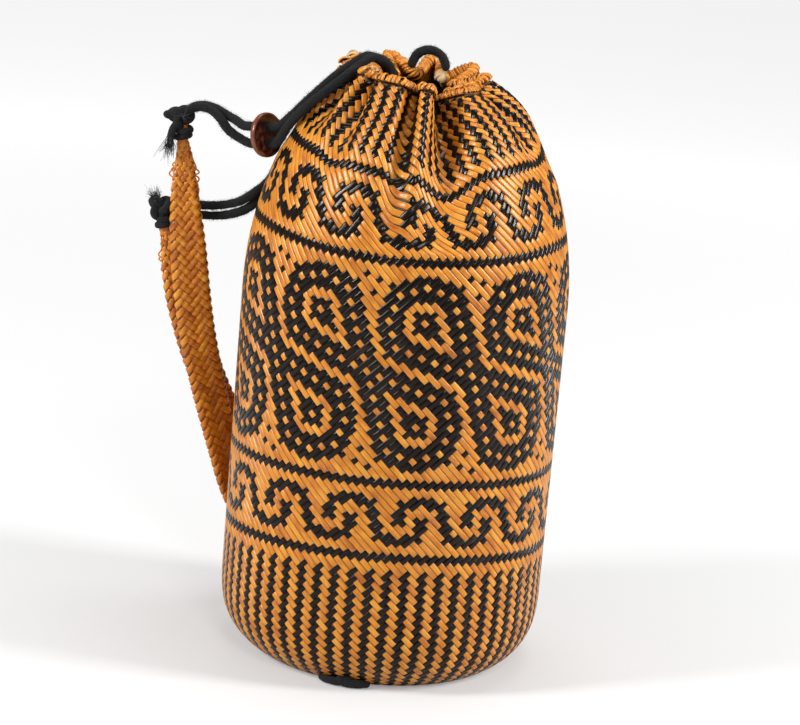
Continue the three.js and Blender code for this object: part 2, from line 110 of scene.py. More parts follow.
def frames_along(line, joined=False):
    """Directions along the line and across it, carried on without a twist."""
    around = np.roll(line, -1, axis=0) - np.roll(line, 1, axis=0)
    along = unit(around if joined else np.gradient(line, axis=0))
    side = np.zeros_like(line)
    side[0] = unit(np.cross(along[0], [0.3, 0.2, 1.0]))
    for k in range(1, len(line)):
        side[k] = unit(side[k - 1] - along[k] * np.dot(side[k - 1], along[k]))
    return along, side, np.cross(along, side)


def skin_object(name, rings, finish, joined=False, capped=True):
    """A mesh from rings of points, with a UV map in millimetres round and along it."""
    count, sides = rings.shape[:2]
    steps = np.linalg.norm(np.diff(rings, axis=0), axis=2).mean(axis=1)
    lengths = np.cumsum([0, *steps, steps[-1]])
    middle = rings[count // 2]
    width = np.linalg.norm(middle - np.roll(middle, 1, axis=0), axis=1).sum() / sides
    faces = []
    corners = []
    for row in range(count if joined else count - 1):
        for k in range(sides):
            n, m = (row + 1) % count, (k + 1) % sides
            faces.append((row * sides + k, row * sides + m, n * sides + m, n * sides + k))
            low, high = lengths[row], lengths[row + 1]
            left, right = k * width, (k + 1) * width
            corners += [(left, low), (right, low), (right, high), (left, high)]
    points = rings.reshape(-1, 3).tolist()
    if capped and not joined:
        for row, order in ((0, 1), (count - 1, -1)):
            pole = len(points)
            points.append(rings[row].mean(axis=0).tolist())
            for k in range(sides):
                pair = (row * sides + (k + 1) % sides, row * sides + k)[::order]
                faces.append((*pair, pole))
                left, end = k * width, lengths[row]
                corners += [(left, end), (left + width, end), (left, end + width)]
    mesh = bpy.data.meshes.new(name)
    mesh.from_pydata([[c * MM for c in p] for p in points], [], faces)
    uv = mesh.uv_layers.new(name="thread")
    uv.data.foreach_set("uv", np.array(corners, np.float32).ravel())
    mesh.polygons.foreach_set("use_smooth", [True] * len(mesh.polygons))
    mesh.materials.append(finish)
    mesh.validate()
    mesh.update()
    return added(name, mesh)


def spokes(side, up, count):
    """The angles of a ring's points, and the way out to each all along a line."""
    angle = np.arange(count) * 2 * np.pi / count
    return angle, np.cos(angle)[:, None] * side[:, None] + np.sin(angle)[:, None] * up[:, None]


plait_lay = 7.0
cord_sides = 22


def cord_rings(line, radius, seed, joined=False):
    """Rings of a round plait of soft threads: eight crossing bundles and a slow unevenness."""
    along, side, up = frames_along(line, joined)
    angle, spread = spokes(side, up, cord_sides)
    step = np.linalg.norm(np.diff(line, axis=0), axis=1).mean()
    travelled = np.arange(len(line)) * step
    turn = 2 * np.pi / plait_lay * travelled[:, None]
    plait = np.maximum(np.cos(4 * angle + turn), np.cos(4 * angle - turn))
    wander = np.random.default_rng(seed).uniform(0, 6.28, 4)
    uneven = np.sin(travelled / 9 + wander[0]) + np.sin(travelled / 4.1 + wander[1])
    flat = np.cos(2 * angle + wander[2]) * np.sin(travelled / 17 + wander[3])[:, None]
    size = radius * (0.975 + 0.04 * plait + 0.02 * uneven[:, None] + 0.04 * flat)
    if not joined:
        near = np.minimum(travelled, travelled[::-1]) / radius
        size *= np.sqrt(np.clip(1 - (1 - np.clip(near, 0, 1)) ** 2, 0.05, 1))[:, None]
    return line[:, None] + size[..., None] * spread


def thread_rings(line, radius):
    """Rings of a thin thread that tapers to its tip."""
    spread = spokes(*frames_along(line)[1:], 3)[1]
    return line[:, None] + np.linspace(1, 0.4, len(line))[:, None, None] * radius * spread


def join(name, *pieces):
    """One object from several, with this name for its mesh and object."""
    whole = pieces[0]
    with bpy.context.temp_override(active_object=whole, selected_editable_objects=list(pieces)):
        bpy.ops.object.join()
    whole.name = whole.data.name = name
    return whole


def new_tree(name, inputs):
    """A geometry tree with a geometry input and output, and named numbers and materials."""
    tree = bpy.data.node_groups.new(name, "GeometryNodeTree")
    tree.interface.new_socket("Geometry", in_out="INPUT", socket_type="NodeSocketGeometry")
    for label, value in inputs.items():
        kind = "NodeSocketInt" if isinstance(value, int) else "NodeSocketFloat"
        if isinstance(value, bpy.types.Material):
            kind = "NodeSocketMaterial"
        socket = tree.interface.new_socket(label, in_out="INPUT", socket_type=kind)
        socket.default_value = value
    tree.interface.new_socket("Geometry", in_out="OUTPUT", socket_type="NodeSocketGeometry")
    given = tree.nodes.new("NodeGroupInput").outputs
    return tree, given, tree.nodes.new("NodeGroupOutput")


def feed(tree, node, **inputs):
    """Set each named input to a value, or link it to a socket or to a node's first output.
    slot_3 stands for the input numbered 3, where several share a name."""
    for key, value in inputs.items():
        label = key.replace("_", " ")
        socket = node.inputs[int(label[5:])] if label.startswith("slot ") else node.inputs[label]
        if isinstance(value, bpy.types.Node):
            value = next(output for output in value.outputs if output.enabled)
        if isinstance(value, bpy.types.NodeSocket):
            tree.links.new(value, socket)
        else:
            socket.default_value = value


def place(tree, kind, settings=(), **inputs):
    """A new node with its settings and inputs."""
    node = tree.nodes.new(kind)
    for key, value in dict(settings).items():
        setattr(node, key, value)
    feed(tree, node, **inputs)
    return node


def maths(tree, operation, *values, kind="ShaderNodeMath"):
    slots = {f"slot_{k}": value for k, value in enumerate(values)}
    return place(tree, kind, {"operation": operation}, **slots)


def remap(tree, value, low, high, to_low=0.0, to_high=1.0):
    return place(
        tree, "ShaderNodeMapRange", Value=value, From_Min=low, From_Max=high, To_Min=to_low,
        To_Max=to_high,
    )


def noise(tree, vector, scale, detail, **more):
    node = place(tree, "ShaderNodeTexNoise", Vector=vector, Scale=scale, Detail=detail, **more)
    return node.outputs["Fac"]


def mix(tree, factor, first, second):
    """The first colour where the factor is 0, and the second where it is 1."""
    return place(
        tree, "ShaderNodeMix", {"data_type": "RGBA"}, slot_0=factor, slot_6=first, slot_7=second
    )


def object_spot(tree):
    return place(tree, "ShaderNodeTexCoord").outputs["Object"]


def thread_map(tree):
    return place(tree, "ShaderNodeUVMap", {"uv_map": "thread"})


def bumped(tree, shader, height, strength, depth, invert=False):
    bump = place(
        tree, "ShaderNodeBump", {"invert": invert}, Strength=strength, Distance=depth,
        Height=height,
    )
    feed(tree, shader, Normal=bump)


def grown(piece, tree, name, **values):
    """What the geometry tree makes of the piece, as a plain mesh in the piece's place."""
    modifier = piece.modifiers.new("grow", "NODES")
    modifier.node_group = tree
    for item in tree.interface.items_tree:
        if item.in_out == "INPUT" and item.name.replace(" ", "_") in values:
            modifier[item.identifier] = values[item.name.replace(" ", "_")]
    evaluated = piece.evaluated_get(bpy.context.evaluated_depsgraph_get())
    mesh = bpy.data.meshes.new_from_object(evaluated)
    mesh.name = name
    bpy.data.objects.remove(piece)
    return added(name, mesh)


def new_material(name, roughness, coat=0.0, coat_roughness=0.3, sheen=0.0, gloss=0.5):
    """A material with its surface shader, whose uniform values are set on the shader itself."""
    material = bpy.data.materials.new(name)
    material.use_nodes = True
    tree = material.node_tree
    shader = tree.nodes["Principled BSDF"]
    feed(
        tree, shader, Roughness=roughness, Coat_Weight=coat, Coat_Roughness=coat_roughness,
        Sheen_Weight=sheen, Sheen_Roughness=0.6, Specular_IOR_Level=gloss,
    )
    return material, tree, shader


def ramp(tree, factor, stops):
    """A colour ramp through the given (place, colour) stops."""
    node = tree.nodes.new("ShaderNodeValToRGB")
    elements = node.color_ramp.elements
    while len(elements) < len(stops):
        elements.new(0.5)
    for element, (position, colour) in zip(elements, stops):
        element.position = position
        element.color = (*colour, 1)
    feed(tree, node, Fac=factor)
    return node


def cotton_material(name, dark, light):
    """Soft plaited cotton: fine threads round the cord, lint, and worn lighter patches."""
    material, tree, shader = new_material(name, 0.95, sheen=0.04)
    uv = thread_map(tree)
    spot = object_spot(tree)
    threads = []
    for slant in (0.7, -0.7):
        turned = place(tree, "ShaderNodeMapping", Vector=uv, Rotation=(0, 0, slant))
        wave = place(
            tree, "ShaderNodeTexWave", Vector=turned, Scale=1.3, Distortion=2.2, Detail=1.0
        )
        threads.append(wave.outputs["Fac"])
    lint = noise(tree, spot, 900.0, 4.0)
    worn = noise(tree, spot, 70.0, 3.0)
    mixed = maths(tree, "MULTIPLY_ADD", lint, 0.5, maths(tree, "MULTIPLY", *threads))
    spread = maths(tree, "MULTIPLY", mixed, worn)
    feed(tree, shader, Base_Color=ramp(tree, spread, [(0.12, dark), (0.75, light)]))
    bumped(tree, shader, mixed, 0.7, 0.0004)
    return material


black_cotton = cotton_material("black_cotton", (0.0015, 0.0016, 0.002), (0.016, 0.0165, 0.019))
grey_lint = cotton_material("grey_lint", (0.05, 0.048, 0.05), (0.35, 0.33, 0.33))

# Loose threads that stand off a surface, each a short bent hair
fuzz_tree, fuzz_in, fuzz_out = new_tree(
    "loose_threads",
    {"Threads": 1.1e6, "Length": 0.0011, "Thickness": 0.00005, "Seed": 1, "Finish": black_cotton},
)
fuzz_node = partial(place, fuzz_tree)
fuzz_spots = fuzz_node(
    "GeometryNodeDistributePointsOnFaces", Mesh=fuzz_in["Geometry"], Density=fuzz_in["Threads"],
    Seed=fuzz_in["Seed"],
)
fuzz_hair = fuzz_node(
    "GeometryNodeCurveQuadraticBezier", Resolution=3, Start=(0.0, 0.0, 0.0),
    Middle=(0.1, 0.0, 0.6), End=(0.6, 0.0, 1.0),
)
fuzz_long = fuzz_node("GeometryNodeTransform", Geometry=fuzz_hair, Scale=fuzz_in["Length"])
fuzz_ring = fuzz_node(
    "GeometryNodeCurvePrimitiveCircle", Resolution=3, Radius=fuzz_in["Thickness"]
)
fuzz_solid = fuzz_node("GeometryNodeCurveToMesh", Curve=fuzz_long, Profile_Curve=fuzz_ring)
fuzz_spin = fuzz_node(
    "FunctionNodeRandomValue", {"data_type": "FLOAT_VECTOR"}, slot_0=(-0.7, -0.7, 0.0),
    slot_1=(0.7, 0.7, 6.28), Seed=fuzz_in["Seed"],
)
fuzz_turn = fuzz_node(
    "FunctionNodeRotateRotation", {"rotation_space": "LOCAL"},
    Rotation=fuzz_spots.outputs["Rotation"],
    Rotate_By=fuzz_node("FunctionNodeEulerToRotation", Euler=fuzz_spin),
)
fuzz_size = fuzz_node(
    "FunctionNodeRandomValue", slot_2=0.45, slot_3=1.35, Seed=fuzz_in["Seed"]
)
fuzz_all = fuzz_node(
    "GeometryNodeInstanceOnPoints", Points=fuzz_spots, Instance=fuzz_solid, Rotation=fuzz_turn,
    Scale=fuzz_size,
)
fuzz_real = fuzz_node("GeometryNodeRealizeInstances", Geometry=fuzz_all)
fuzz_done = fuzz_node(
    "GeometryNodeSetMaterial", Geometry=fuzz_real, Material=fuzz_in["Finish"]
)
feed(fuzz_tree, fuzz_out, Geometry=fuzz_done)


def fuzz_on(piece, seed):
    """The loose threads that stand off a piece of cord, as a piece of their own."""
    return grown(added("base", piece.data.copy()), fuzz_tree, piece.name + "_lint", Seed=seed)


def dress(node, slot, body, *pieces):
    for piece in pieces:
        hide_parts(node)
        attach(piece, body)


def cord_object(name, line, radius, seed, joined=False, finish=black_cotton):
    return skin_object(name, cord_rings(line, radius, seed, joined), finish, joined=joined)


cord_radius = 3.0
tight_radius = 2.7
stub_radius = 2.9
collar_radius = 2.3
tail_whole = 0.62
cord_step = 0.9
knot_spread = 2.25
knot_depth = 3.6
knot_collars = [(-8.0, 4.6), (-12.6, 4.2)]
thread_count = 150
tail_threads = 110


def frayed(rng, start, away, length):
    """The rings of one loose, bent thread."""
    tip = start + away * length + rng.normal(0, 2.6, 3) * length
    middle = (start + tip) / 2 + rng.normal(0, 0.9, 3)
    line = smooth_line([start, middle, tip], 2.2)
    return thread_rings(line, rng.uniform(0.16, 0.3))


def knotted(name, centre, spin, tail, stub, collar, puff, seed):
    """An overhand knot drawn tight, its cut end, its collars, and its frayed tail and tuft."""
    rng = np.random.default_rng(seed)
    t = np.linspace(0, 2 * np.pi, 90, endpoint=False)
    sideways = knot_spread * (np.sin(t) + 2 * np.sin(2 * t))
    upward = knot_spread * (np.cos(t) - 2 * np.cos(2 * t))
    trefoil = np.stack([sideways, -knot_depth * np.sin(3 * t), upward], axis=1)
    turned = trefoil @ np.array(Matrix.Rotation(spin, 3, "Z")).T
    parts = [cord_object(name, centre + turned, cord_radius, seed, joined=True)]
    stub_line = smooth_line([centre, centre + np.array(stub) * 0.6, centre + stub], cord_step)
    parts.append(cord_object(name + "_end", stub_line, stub_radius, seed + 1))
    tail_line = smooth_line([centre] + [centre + p for p in tail], cord_step)
    held = tail_line[: int(len(tail_line) * tail_whole)]
    parts.append(cord_object(name + "_tail", held, tight_radius, seed + 2))
    t = np.linspace(0, 2 * np.pi, 40, endpoint=False)
    for drop, wide in knot_collars:
        ring = [wide * np.cos(t), (wide - 0.6) * np.sin(t), drop + 1.1 * np.cos(t + drop)]
        ring = centre + collar + np.stack(ring, axis=1)
        parts.append(cord_object(name + "_collar", ring, collar_radius, seed + 3, joined=True))
    for k in range(thread_count):
        tuft = k >= tail_threads
        off = rng.normal(0, 1.25, 3)
        start = held[-4] + off * 0.6
        away = tail_line[-1] - held[-1]
        length = rng.uniform(0.5, 1.25)
        if tuft:
            start = centre + puff + off * 0.5
            away = np.array((0.4, -1.4, 2.2))
            length = rng.uniform(0.6, 1.1)
        rings = frayed(rng, start, away, length)
        finish = grey_lint if tuft or rng.random() < 0.3 else black_cotton
        parts.append(skin_object("thread", rings, finish, capped=False))
    return join(name, *parts)


wall_radius = 110.0
strap_bow = 66.0
rim_height = 402.0


def polar(angle, radius, z):
    """A point, or an array of them, from the angle round the basket in degrees."""
    turn = np.radians(angle)
    return np.stack(np.broadcast_arrays(radius * np.sin(turn), -radius * np.cos(turn), z), axis=-1)


def beside_wall(angle, rise_share, bow_share):
    return polar(angle, wall_radius + bow_share * strap_bow, rise_share * rim_height)


front_knot = knotted(
    "front_strap_knot_cord", beside_wall(-99.0, 0.876, 0.809), spin=0.35,
    tail=np.array([(-4.2, -5.0, -7.6), (-5.8, -6.2, -15.5), (-7.0, -6.6, -27.0)]),
    stub=(-12.0, -1.2, 1.6), collar=(2.2, 0.2, 0.0), puff=(2.6, -6.6, 1.5), seed=11,
)
back_knot = knotted(
    "back_strap_knot_cord", beside_wall(-105.0, 0.71, 1.056), spin=-0.2,
    tail=np.array([(-4.0, -1.4, 6.0), (-6.5, -2.2, 12.5)]),
    stub=(2.5, -3.5, -9.0), collar=(3.2, 0.0, 1.0), puff=(-3.0, -3.6, 6.0), seed=17,
)
dress("front_strap_knot", "cord", "front_strap", front_knot)
dress("back_strap_knot", "cord", "back_strap", back_knot)

# Stopper
# A round disc of polished dark shell that slides on the doubled drawcord and holds it. It was
# cut from a shell, so it is dished, mottled inside and redder where the edge was rounded.
stopper_centre = np.array([-101.2, 0.1, 349.0])
stopper_normal = np.array([-0.78364, 0.60224, -0.15237])
stopper_half = [
    (15.0, 0.6), (14.86, 1.35), (14.4, 1.85), (13.6, 2.0), (12.2, 1.8), (9.3, 1.4), (5.0, 0.95),
]
stopper_profile = [(radius, -height) for radius, height in stopper_half[::-1]] + stopper_half
side_one = unit(np.cross(stopper_normal, [0, 0, 1.0]))
side_two = np.cross(stopper_normal, side_one)
stopper_angle, stopper_out = spokes(side_one[None], side_two[None], 72)
stopper_wave = 1 + 0.006 * np.sin(3 * stopper_angle + 1)
stopper_rings = [
    stopper_centre + height * stopper_normal + radius * stopper_wave[:, None] * stopper_out[0]
    for radius, height in stopper_profile
]
polished_shell, shell_nodes, shell_shader = new_material("polished_shell", 0.28, 0.6, 0.1)
shell_node = partial(place, shell_nodes)
shell_spot = object_spot(shell_nodes)
shell_shift = tuple(-stopper_centre * MM)
shell_centred = shell_node("ShaderNodeMapping", Vector=shell_spot, Location=shell_shift)
shell_reach = maths(shell_nodes, "LENGTH", shell_centred, kind="ShaderNodeVectorMath")
shell_clouds = noise(shell_nodes, shell_spot, 160.0, 5.0, Distortion=1.2)
shell_flecks = shell_node("ShaderNodeTexVoronoi", Vector=shell_spot, Scale=420.0)
shell_colour = ramp(
    shell_nodes, shell_clouds,
    [(0.36, (0.010, 0.004, 0.003)), (0.5, (0.040, 0.010, 0.006)), (0.6, (0.16, 0.045, 0.018)),
     (0.7, (0.30, 0.11, 0.04))],
)
shell_edge = remap(shell_nodes, shell_reach, 0.0136, 0.0149)
shell_mix = mix(shell_nodes, shell_edge, shell_colour, (0.20, 0.045, 0.018, 1))
feed(shell_nodes, shell_shader, Base_Color=shell_mix)
bumped(shell_nodes, shell_shader, shell_flecks, 0.25, 0.0003)
shell_disc = skin_object("shell_stopper", np.array(stopper_rings), polished_shell)
dress("stopper", "shell", "stopper", shell_disc)

# Drawcord, its two doubled ends and the slack loop
# One length of 6 mm soft plaited cotton cord is laced through the pleats of the mouth. Its
# ends run doubled to the straps' knots, one pair through the stopper, and a bight of it
# stands up slack at the back of the mouth.
front_pair = [
    ((-21.6, -11.5, 390.5), (1.8, -3.4, 0)), ((-21.9, -11.6, 396.2), (1.8, -3.4, 0)),
    ((-25.0, -13.3, 403.8), (1.7, -3.3, 0)), ((-31.0, -16.5, 408.3), (1.7, -3.3, 0.2)),
    ((-38.4, -20.5, 408.7), (1.7, -3.2, 0)), ((-52.0, -27.7, 398.4), (1.4, -3.1, -1.0)),
    ((-63.6, -30.8, 387.8), (0.6, -3.0, -1.6)), ((-74.6, -27.5, 376.4), (-0.4, -2.9, -1.9)),
    ((-85.4, -17.3, 363.0), (-0.4, -2.6, -2.6)), ((-93.6, -6.0, 351.0), (0.0, -0.6, -5.2)),
    ((-101.2, 0.1, 349.0), (0.0, -0.2, -5.8)), ((-106.0, 3.8, 348.0), (0.0, -0.2, -5.8)),
    ((-112.0, 8.4, 346.9), (0.0, -0.2, -5.8)), ((-118.6, 12.8, 347.6), (-0.6, 0.1, -4.6)),
    ((-125.6, 16.4, 351.0), (-2.2, -0.8, -3.4)), ((-132.2, 19.4, 355.8), (-1.8, -2.9, -1.0)),
    ((-139.4, 21.8, 359.9), (-1.1, -3.3, -0.3)), ((-146.8, 23.6, 361.2), (-0.6, -3.3, -0.2)),
    ((-153.4, 24.8, 359.4), (-0.3, -3.3, -0.1)), ((-158.8, 25.4, 355.4), (-0.1, -3.3, 0.0)),
]
back_pair = [
    ((-43.0, 44.4, 388.4), (2.4, 2.4, 0.0)), ((-50.0, 48.6, 377.6), (2.3, 2.5, -0.3)),
    ((-60.6, 53.0, 364.6), (1.9, 2.8, -0.6)), ((-72.6, 55.4, 350.6), (1.4, 2.9, -0.9)),
    ((-82.8, 52.0, 336.4), (0.9, 2.9, -1.4)), ((-91.7, 46.9, 322.6), (0.7, 2.9, -1.6)),
    ((-99.5, 40.8, 309.6), (0.5, 2.8, -1.8)), ((-107.0, 36.0, 301.0), (1.2, 1.6, -2.8)),
    ((-116.0, 36.6, 293.6), (1.6, 0.4, -3.0)), ((-127.0, 39.6, 289.0), (0.9, -0.2, -3.4)),
    ((-138.0, 42.4, 286.8), (0.3, -0.5, -3.4)), ((-149.0, 44.6, 286.4), (0.0, -1.0, -3.2)),
    ((-160.4, 46.0, 287.2), (0.0, -1.4, -3.0)), ((-170.0, 46.4, 286.6), (0.0, -1.4, -3.0)),
]
front_swing_point = (-112.0, 8.4, 346.9)
back_swing_point = (-107.0, 36.0, 301.0)
pairs = (
    ("front", front_pair, front_knot, front_swing_point, (-124.0, 15.8, 350.0), [shell_disc]),
    ("back", back_pair, back_knot, back_swing_point, (-120.0, 37.6, 291.8), []),
)


for number, (side, route, knot, bend_start, bend_end, on_it) in enumerate(pairs):
    for level, sign in (("upper", -1), ("lower", 1)):
        points = [np.array(at) + sign * np.array(across) for at, across in route]
        line = smooth_line(points, cord_step)
        seed = 31 + 2 * number + (sign > 0)
        strand = cord_object(f"{side}_drawcord_{level}", line, cord_radius, seed)
        lint = fuzz_on(strand, seed)
        start, end = ([c * MM for c in bend] for bend in (bend_start, bend_end))
        for piece in (strand, lint):
            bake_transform(piece)
        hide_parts(f"{side}_cord_{level}", f"{side}_strap_cord_{level}")

loop_route = [
    (-8.6, 24.8, 399.0), (-8.7, 25.0, 402.6), (-6.4, 25.2, 407.8), (-2.6, 25.2, 410.8),
    (2.4, 25.1, 412.0), (7.4, 24.8, 410.8), (11.4, 24.3, 407.6), (13.6, 23.8, 402.6),
    (13.4, 23.2, 399.0),
]
loop_line = smooth_line(loop_route, cord_step)
slack_loop = cord_object("slack_loop", loop_line, cord_radius, 41)
slack_lint = fuzz_on(slack_loop, 41)
for piece in (slack_loop, slack_lint):
    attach(piece, "pull_loop")
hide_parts("pull_loop")

# Plaited wall
# Heel, wall and neck are one twill plait of split cane, 120 strips each way: black strips rise
# to the right and orange ones to the left. Which lies on top draws the stripes, the scrolls
# and the rings. The strips turn under the heel, and the gathered mouth folds them in pleats.
heel_height = 55.0
base_radius = 83.0
shoulder_height = 245.0
mouth_radius = 57.0
wall_thickness = 3.2
pleat_depth = 24.0
pleat_dip = 8.0
pleats = [
    (10, 10, 17, 1.85, 0.34), (-7, 0, 8, 0.85, 0.3), (-38, -3, 10, 0.92, 0.6),
    (-62, 0, 14, 1, 0.7), (-97, 0, 19, 1, 0.6), (-135, 0, 17, 1, 0.6), (-170, 0, 17, 1, 0.58),
    (-205, 0, 17, 1, 0.6), (-238, 0, 16, 0.95, 0.62), (-272, 0, 16, 1, 0.58),
    (-295, 0, 12, 0.8, 0.66),
]
front_dip = 6.0
dip_middle, dip_from = 15, 0.5
right_tuck = 13.0
right_drop = 5.5
tuck_middle, tuck_from = 78, 0.8
heel_flare = 3.2
heel_fullness = 0.85
neck_curve = 2.15


def neck_rise(z):
    """0 at the shoulder and 1 at the rim."""
    return (z - shoulder_height) / (rim_height - shoulder_height)


def profile_radius(z):
    rise = np.clip(np.asarray(z, float) / heel_height, 0, 1)
    bulge = (1 - (1 - rise) ** heel_flare) ** heel_fullness
    drawn = np.clip(neck_rise(z), 0, None) ** neck_curve
    return base_radius + (wall_radius - base_radius) * bulge - (wall_radius - mouth_radius) * drawn


def folds(angle, z):
    """For each pleat: how deep it is here, its share, and how far it is drawn in."""
    for middle, lean, half, depth_share, start_share in pleats:
        drawn = np.clip((neck_rise(z) - start_share) / (1 - start_share), 0, None)
        off = (angle - middle - lean * np.minimum(drawn, 1) + 180) % 360 - 180
        depth = np.where(np.abs(off) < half, np.cos(np.pi / 2 * off / half) ** 2, 0)
        yield depth, depth_share, drawn


def wall_point(angle, z, inset):
    """Points of the wall's outer face, or that much inside it, pleats and all."""
    radius = profile_radius(z) - inset
    height = z + 0 * angle
    for depth, depth_share, drawn in folds(angle, z):
        gather = depth * depth_share * drawn**1.2
        radius = radius - pleat_depth * gather
        height = height - pleat_dip * gather * drawn
    dipped, tucked = (
        np.clip(np.cos(np.radians(angle - middle)), 0, 1) ** 1.5
        * np.clip((neck_rise(z) - start) / (1 - start), 0, None) ** 2
        for middle, start in ((dip_middle, dip_from), (tuck_middle, tuck_from))
    )
    height = height - front_dip * dipped - right_drop * tucked
    return polar(angle, radius - right_tuck * tucked, height)


# The plait is counted in half strips: across is X, up is Y, and the strips cross where X + Y
# is even. The steps are those of the net that the strips follow. The marks are rows of the
# plait, and the height that each reaches on the wall
columns = 240
column_step = 0.5
row_step = 0.25
row_marks = [-68.0, -60.0, -31.5, -13.5, 37.5, 55.5, 76.5, 78.5]
height_marks = [0.0, 14.0, 97.5, 147.5, 292.5, 344.5, 402.0, 407.5]
lowest_row = -73
highest_row = 76
level_height = 195.0
side_rise = 0.075
pleat_sag = 7.0
crease_angle = -6.0
crease_half = 7
crease_takes = 6.5
crease_row, crease_rows = 37, 12
crease_fade_from, crease_fade_over = -45, 130
heel_settles, rim_settles = 30, 16
front_column = 7.4
side_spread = 3.5
pleat_share = 0.85
turned_row = 3.1
least_height = 0.7


def sagging(angle, z):
    """How much the rows hang down in each pleat, most of all midway between its ends."""
    sag = np.zeros_like(angle)
    for depth, depth_share, drawn in folds(angle, z):
        held = np.minimum(drawn, 1)
        sag += depth * depth_share * 4 * held * (1 - held)
    return sag


def eased(value, low, high):
    """0 up to low and 1 from high on, without a corner."""
    t = np.clip((value - low) / (high - low), 0, 1)
    return t * t * (3 - 2 * t)


def past_crease(angle):
    """Whole from the front crease round to the left, and dying away behind."""
    gone = np.clip((crease_fade_from - angle) / crease_fade_over, 0, 1)
    return eased(crease_angle + crease_half - angle, 0, 2 * crease_half) * (1 - gone)


def wall_net(inset, rows, columns_at):
    """Points of the wall at rows and columns of the plait, which run on round the pleats."""
    heights = np.linspace(0, height_marks[-1], 821)
    radii = profile_radius(heights)
    climbed = travel(np.stack([heights, radii], axis=1))
    marks = np.interp(height_marks, heights, climbed)
    turn = columns_at * (360 / columns) + front_column
    turn = turn + side_spread * np.sin(np.radians(turn)) ** 3
    one_turn = 1440
    fine = np.linspace(-180, 540, 2 * one_turn + 1)
    net = np.zeros((len(rows), len(columns_at), 3))
    for k, row in enumerate(rows):
        z = float(np.interp(np.interp(row, row_marks, marks), climbed, heights))
        under = max(0.0, (row_marks[0] - row) * turned_row)
        above, below = (row - row_marks[0]) / heel_settles, (row_marks[-2] - row) / rim_settles
        held = np.clip(min(above, below), 0, 1)
        level = z + side_rise * held * (z - level_height) * np.sin(np.radians(fine)) ** 2
        level = level - pleat_sag * sagging(fine, level)
        line = wall_point(fine, level, inset)
        travelled = travel(line)
        whole = travelled[one_turn] - travelled[0]
        measured = (travelled - np.interp(0, fine, travelled)) / whole * 360
        cloth = fine + pleat_share * (measured - fine)
        taken = crease_takes * np.clip((row - crease_row) / crease_rows, 0, 1)
        cloth = cloth - taken * (past_crease(fine) - past_crease(fine - 360))
        angle = np.interp(turn, cloth, fine)
        net[k] = wall_point(angle, np.interp(angle, fine, level), inset + under)
        net[k, :, 2] = np.maximum(net[k, :, 2] + min(under, 1.0) * inset, least_height)
    return net


net_rows = np.arange(lowest_row - 1, highest_row + 1.25, row_step)
net_columns = np.arange(-4, columns + 4.5, column_step)
strip_inset = 0.55
net = wall_net(strip_inset, net_rows, net_columns)
net_along = np.gradient(net, axis=1)
net_up = np.gradient(net, axis=0)
net_out = unit(np.cross(net_along, net_up))


def pitch_on_net(way):
    """How far apart the strips that run one way lie, all over the net."""
    side_step = net_along / column_step
    up_step = net_up / row_step
    cell = np.linalg.norm(np.cross(side_step, up_step), axis=2)
    return 2 * cell / np.linalg.norm(side_step + way * up_step, axis=2)


strip_pitches = {False: pitch_on_net(1), True: pitch_on_net(-1)}


def on_net(grid, x, y):
    """The net's value between its points, at column x and row y."""
    grid = grid if grid.ndim == 3 else grid[..., None]
    c = (np.mod(x, columns) - net_columns[0]) / column_step
    r = np.clip((y - net_rows[0]) / row_step, 0, len(net_rows) - 1.001)
    c0, r0 = c.astype(int), r.astype(int)
    cf, rf = (c - c0)[..., None], (r - r0)[..., None]
    low, high = (grid[row, c0] * (1 - cf) + grid[row, c0 + 1] * cf for row in (r0, r0 + 1))
    return low * (1 - rf) + high * rf


# The pattern: for each crossing, whether the orange strip lies on top. Stripes cover the heel
# and the neck, black rows part the bands, and the rings lie between the two bands of scrolls
orange_on_top = np.zeros((highest_row - lowest_row + 1, columns), bool)
heel_stripes_to = -35
neck_stripes_from = 59
black_rows = (-32, -31, -14, -13, 37, 38, 55, 56)
rings_from, rings_to = -12, 36


def lay(x, y, length, orange):
    """One strip on top for so many crossings: orange runs down to the right, black up."""
    for k in range(length):
        row = y - k if orange else y + k
        orange_on_top[row - lowest_row, (x + k) % columns] = orange


stripes = np.arange(columns) % 4 >= 2
for row in range(lowest_row, highest_row + 1):
    striped = row <= heel_stripes_to or row >= neck_stripes_from
    scrolls = row < rings_from or row > rings_to
    orange_on_top[row - lowest_row] = stripes if striped else scrolls and row not in black_rows

# Two rings, one above the other, ten times round. The upper half of each pair is the lower
# half turned round the point midway between them, so only the lower is written
ring_repeat = 24
ring_strokes = [
    (-7, 7, 3), (-4, 6, 3), (-1, 5, 3), (2, 4, 3), (3, 1, 2), (3, -1, 2), (3, -3, 1),
    (1, -3, 2), (-1, -3, 2), (-4, -2, 3), (-5, 1, 3), (-6, 4, 3), (0, 0, 1),
]
ring_dots = [
    (0, 8), (3, 7), (6, 6), (7, 3), (8, 0), (7, -3), (6, -6), (3, -7), (0, -8), (-3, -7),
    (-6, -6), (-7, -3), (-8, 0), (-9, 3), (-10, 6), (-11, 9), (-12, 12), (-9, 11), (-6, 10),
    (-3, 9),
]
divider_strokes = [(-1, 13, 3), (2, 12, 3), (5, 11, 3), (8, 10, 3), (9, 7, 3), (10, 4, 3),
                   (11, 1, 3)]
border_strokes = [
    (11, -1, 4), (11, -3, 5), (10, -4, 2), (13, -7, 6), (10, -6, 4), (15, -11, 2), (9, -7, 2),
    (12, -10, 3), (9, -9, 4), (7, -9, 4), (6, -10, 3), (4, -10, 3), (3, -11, 2), (1, -11, 2),
    (-1, -11, 2), (-4, -10, 3), (-7, -9, 4),
]
ring_all = ring_strokes + [(x, y, 1) for x, y in ring_dots] + divider_strokes + border_strokes
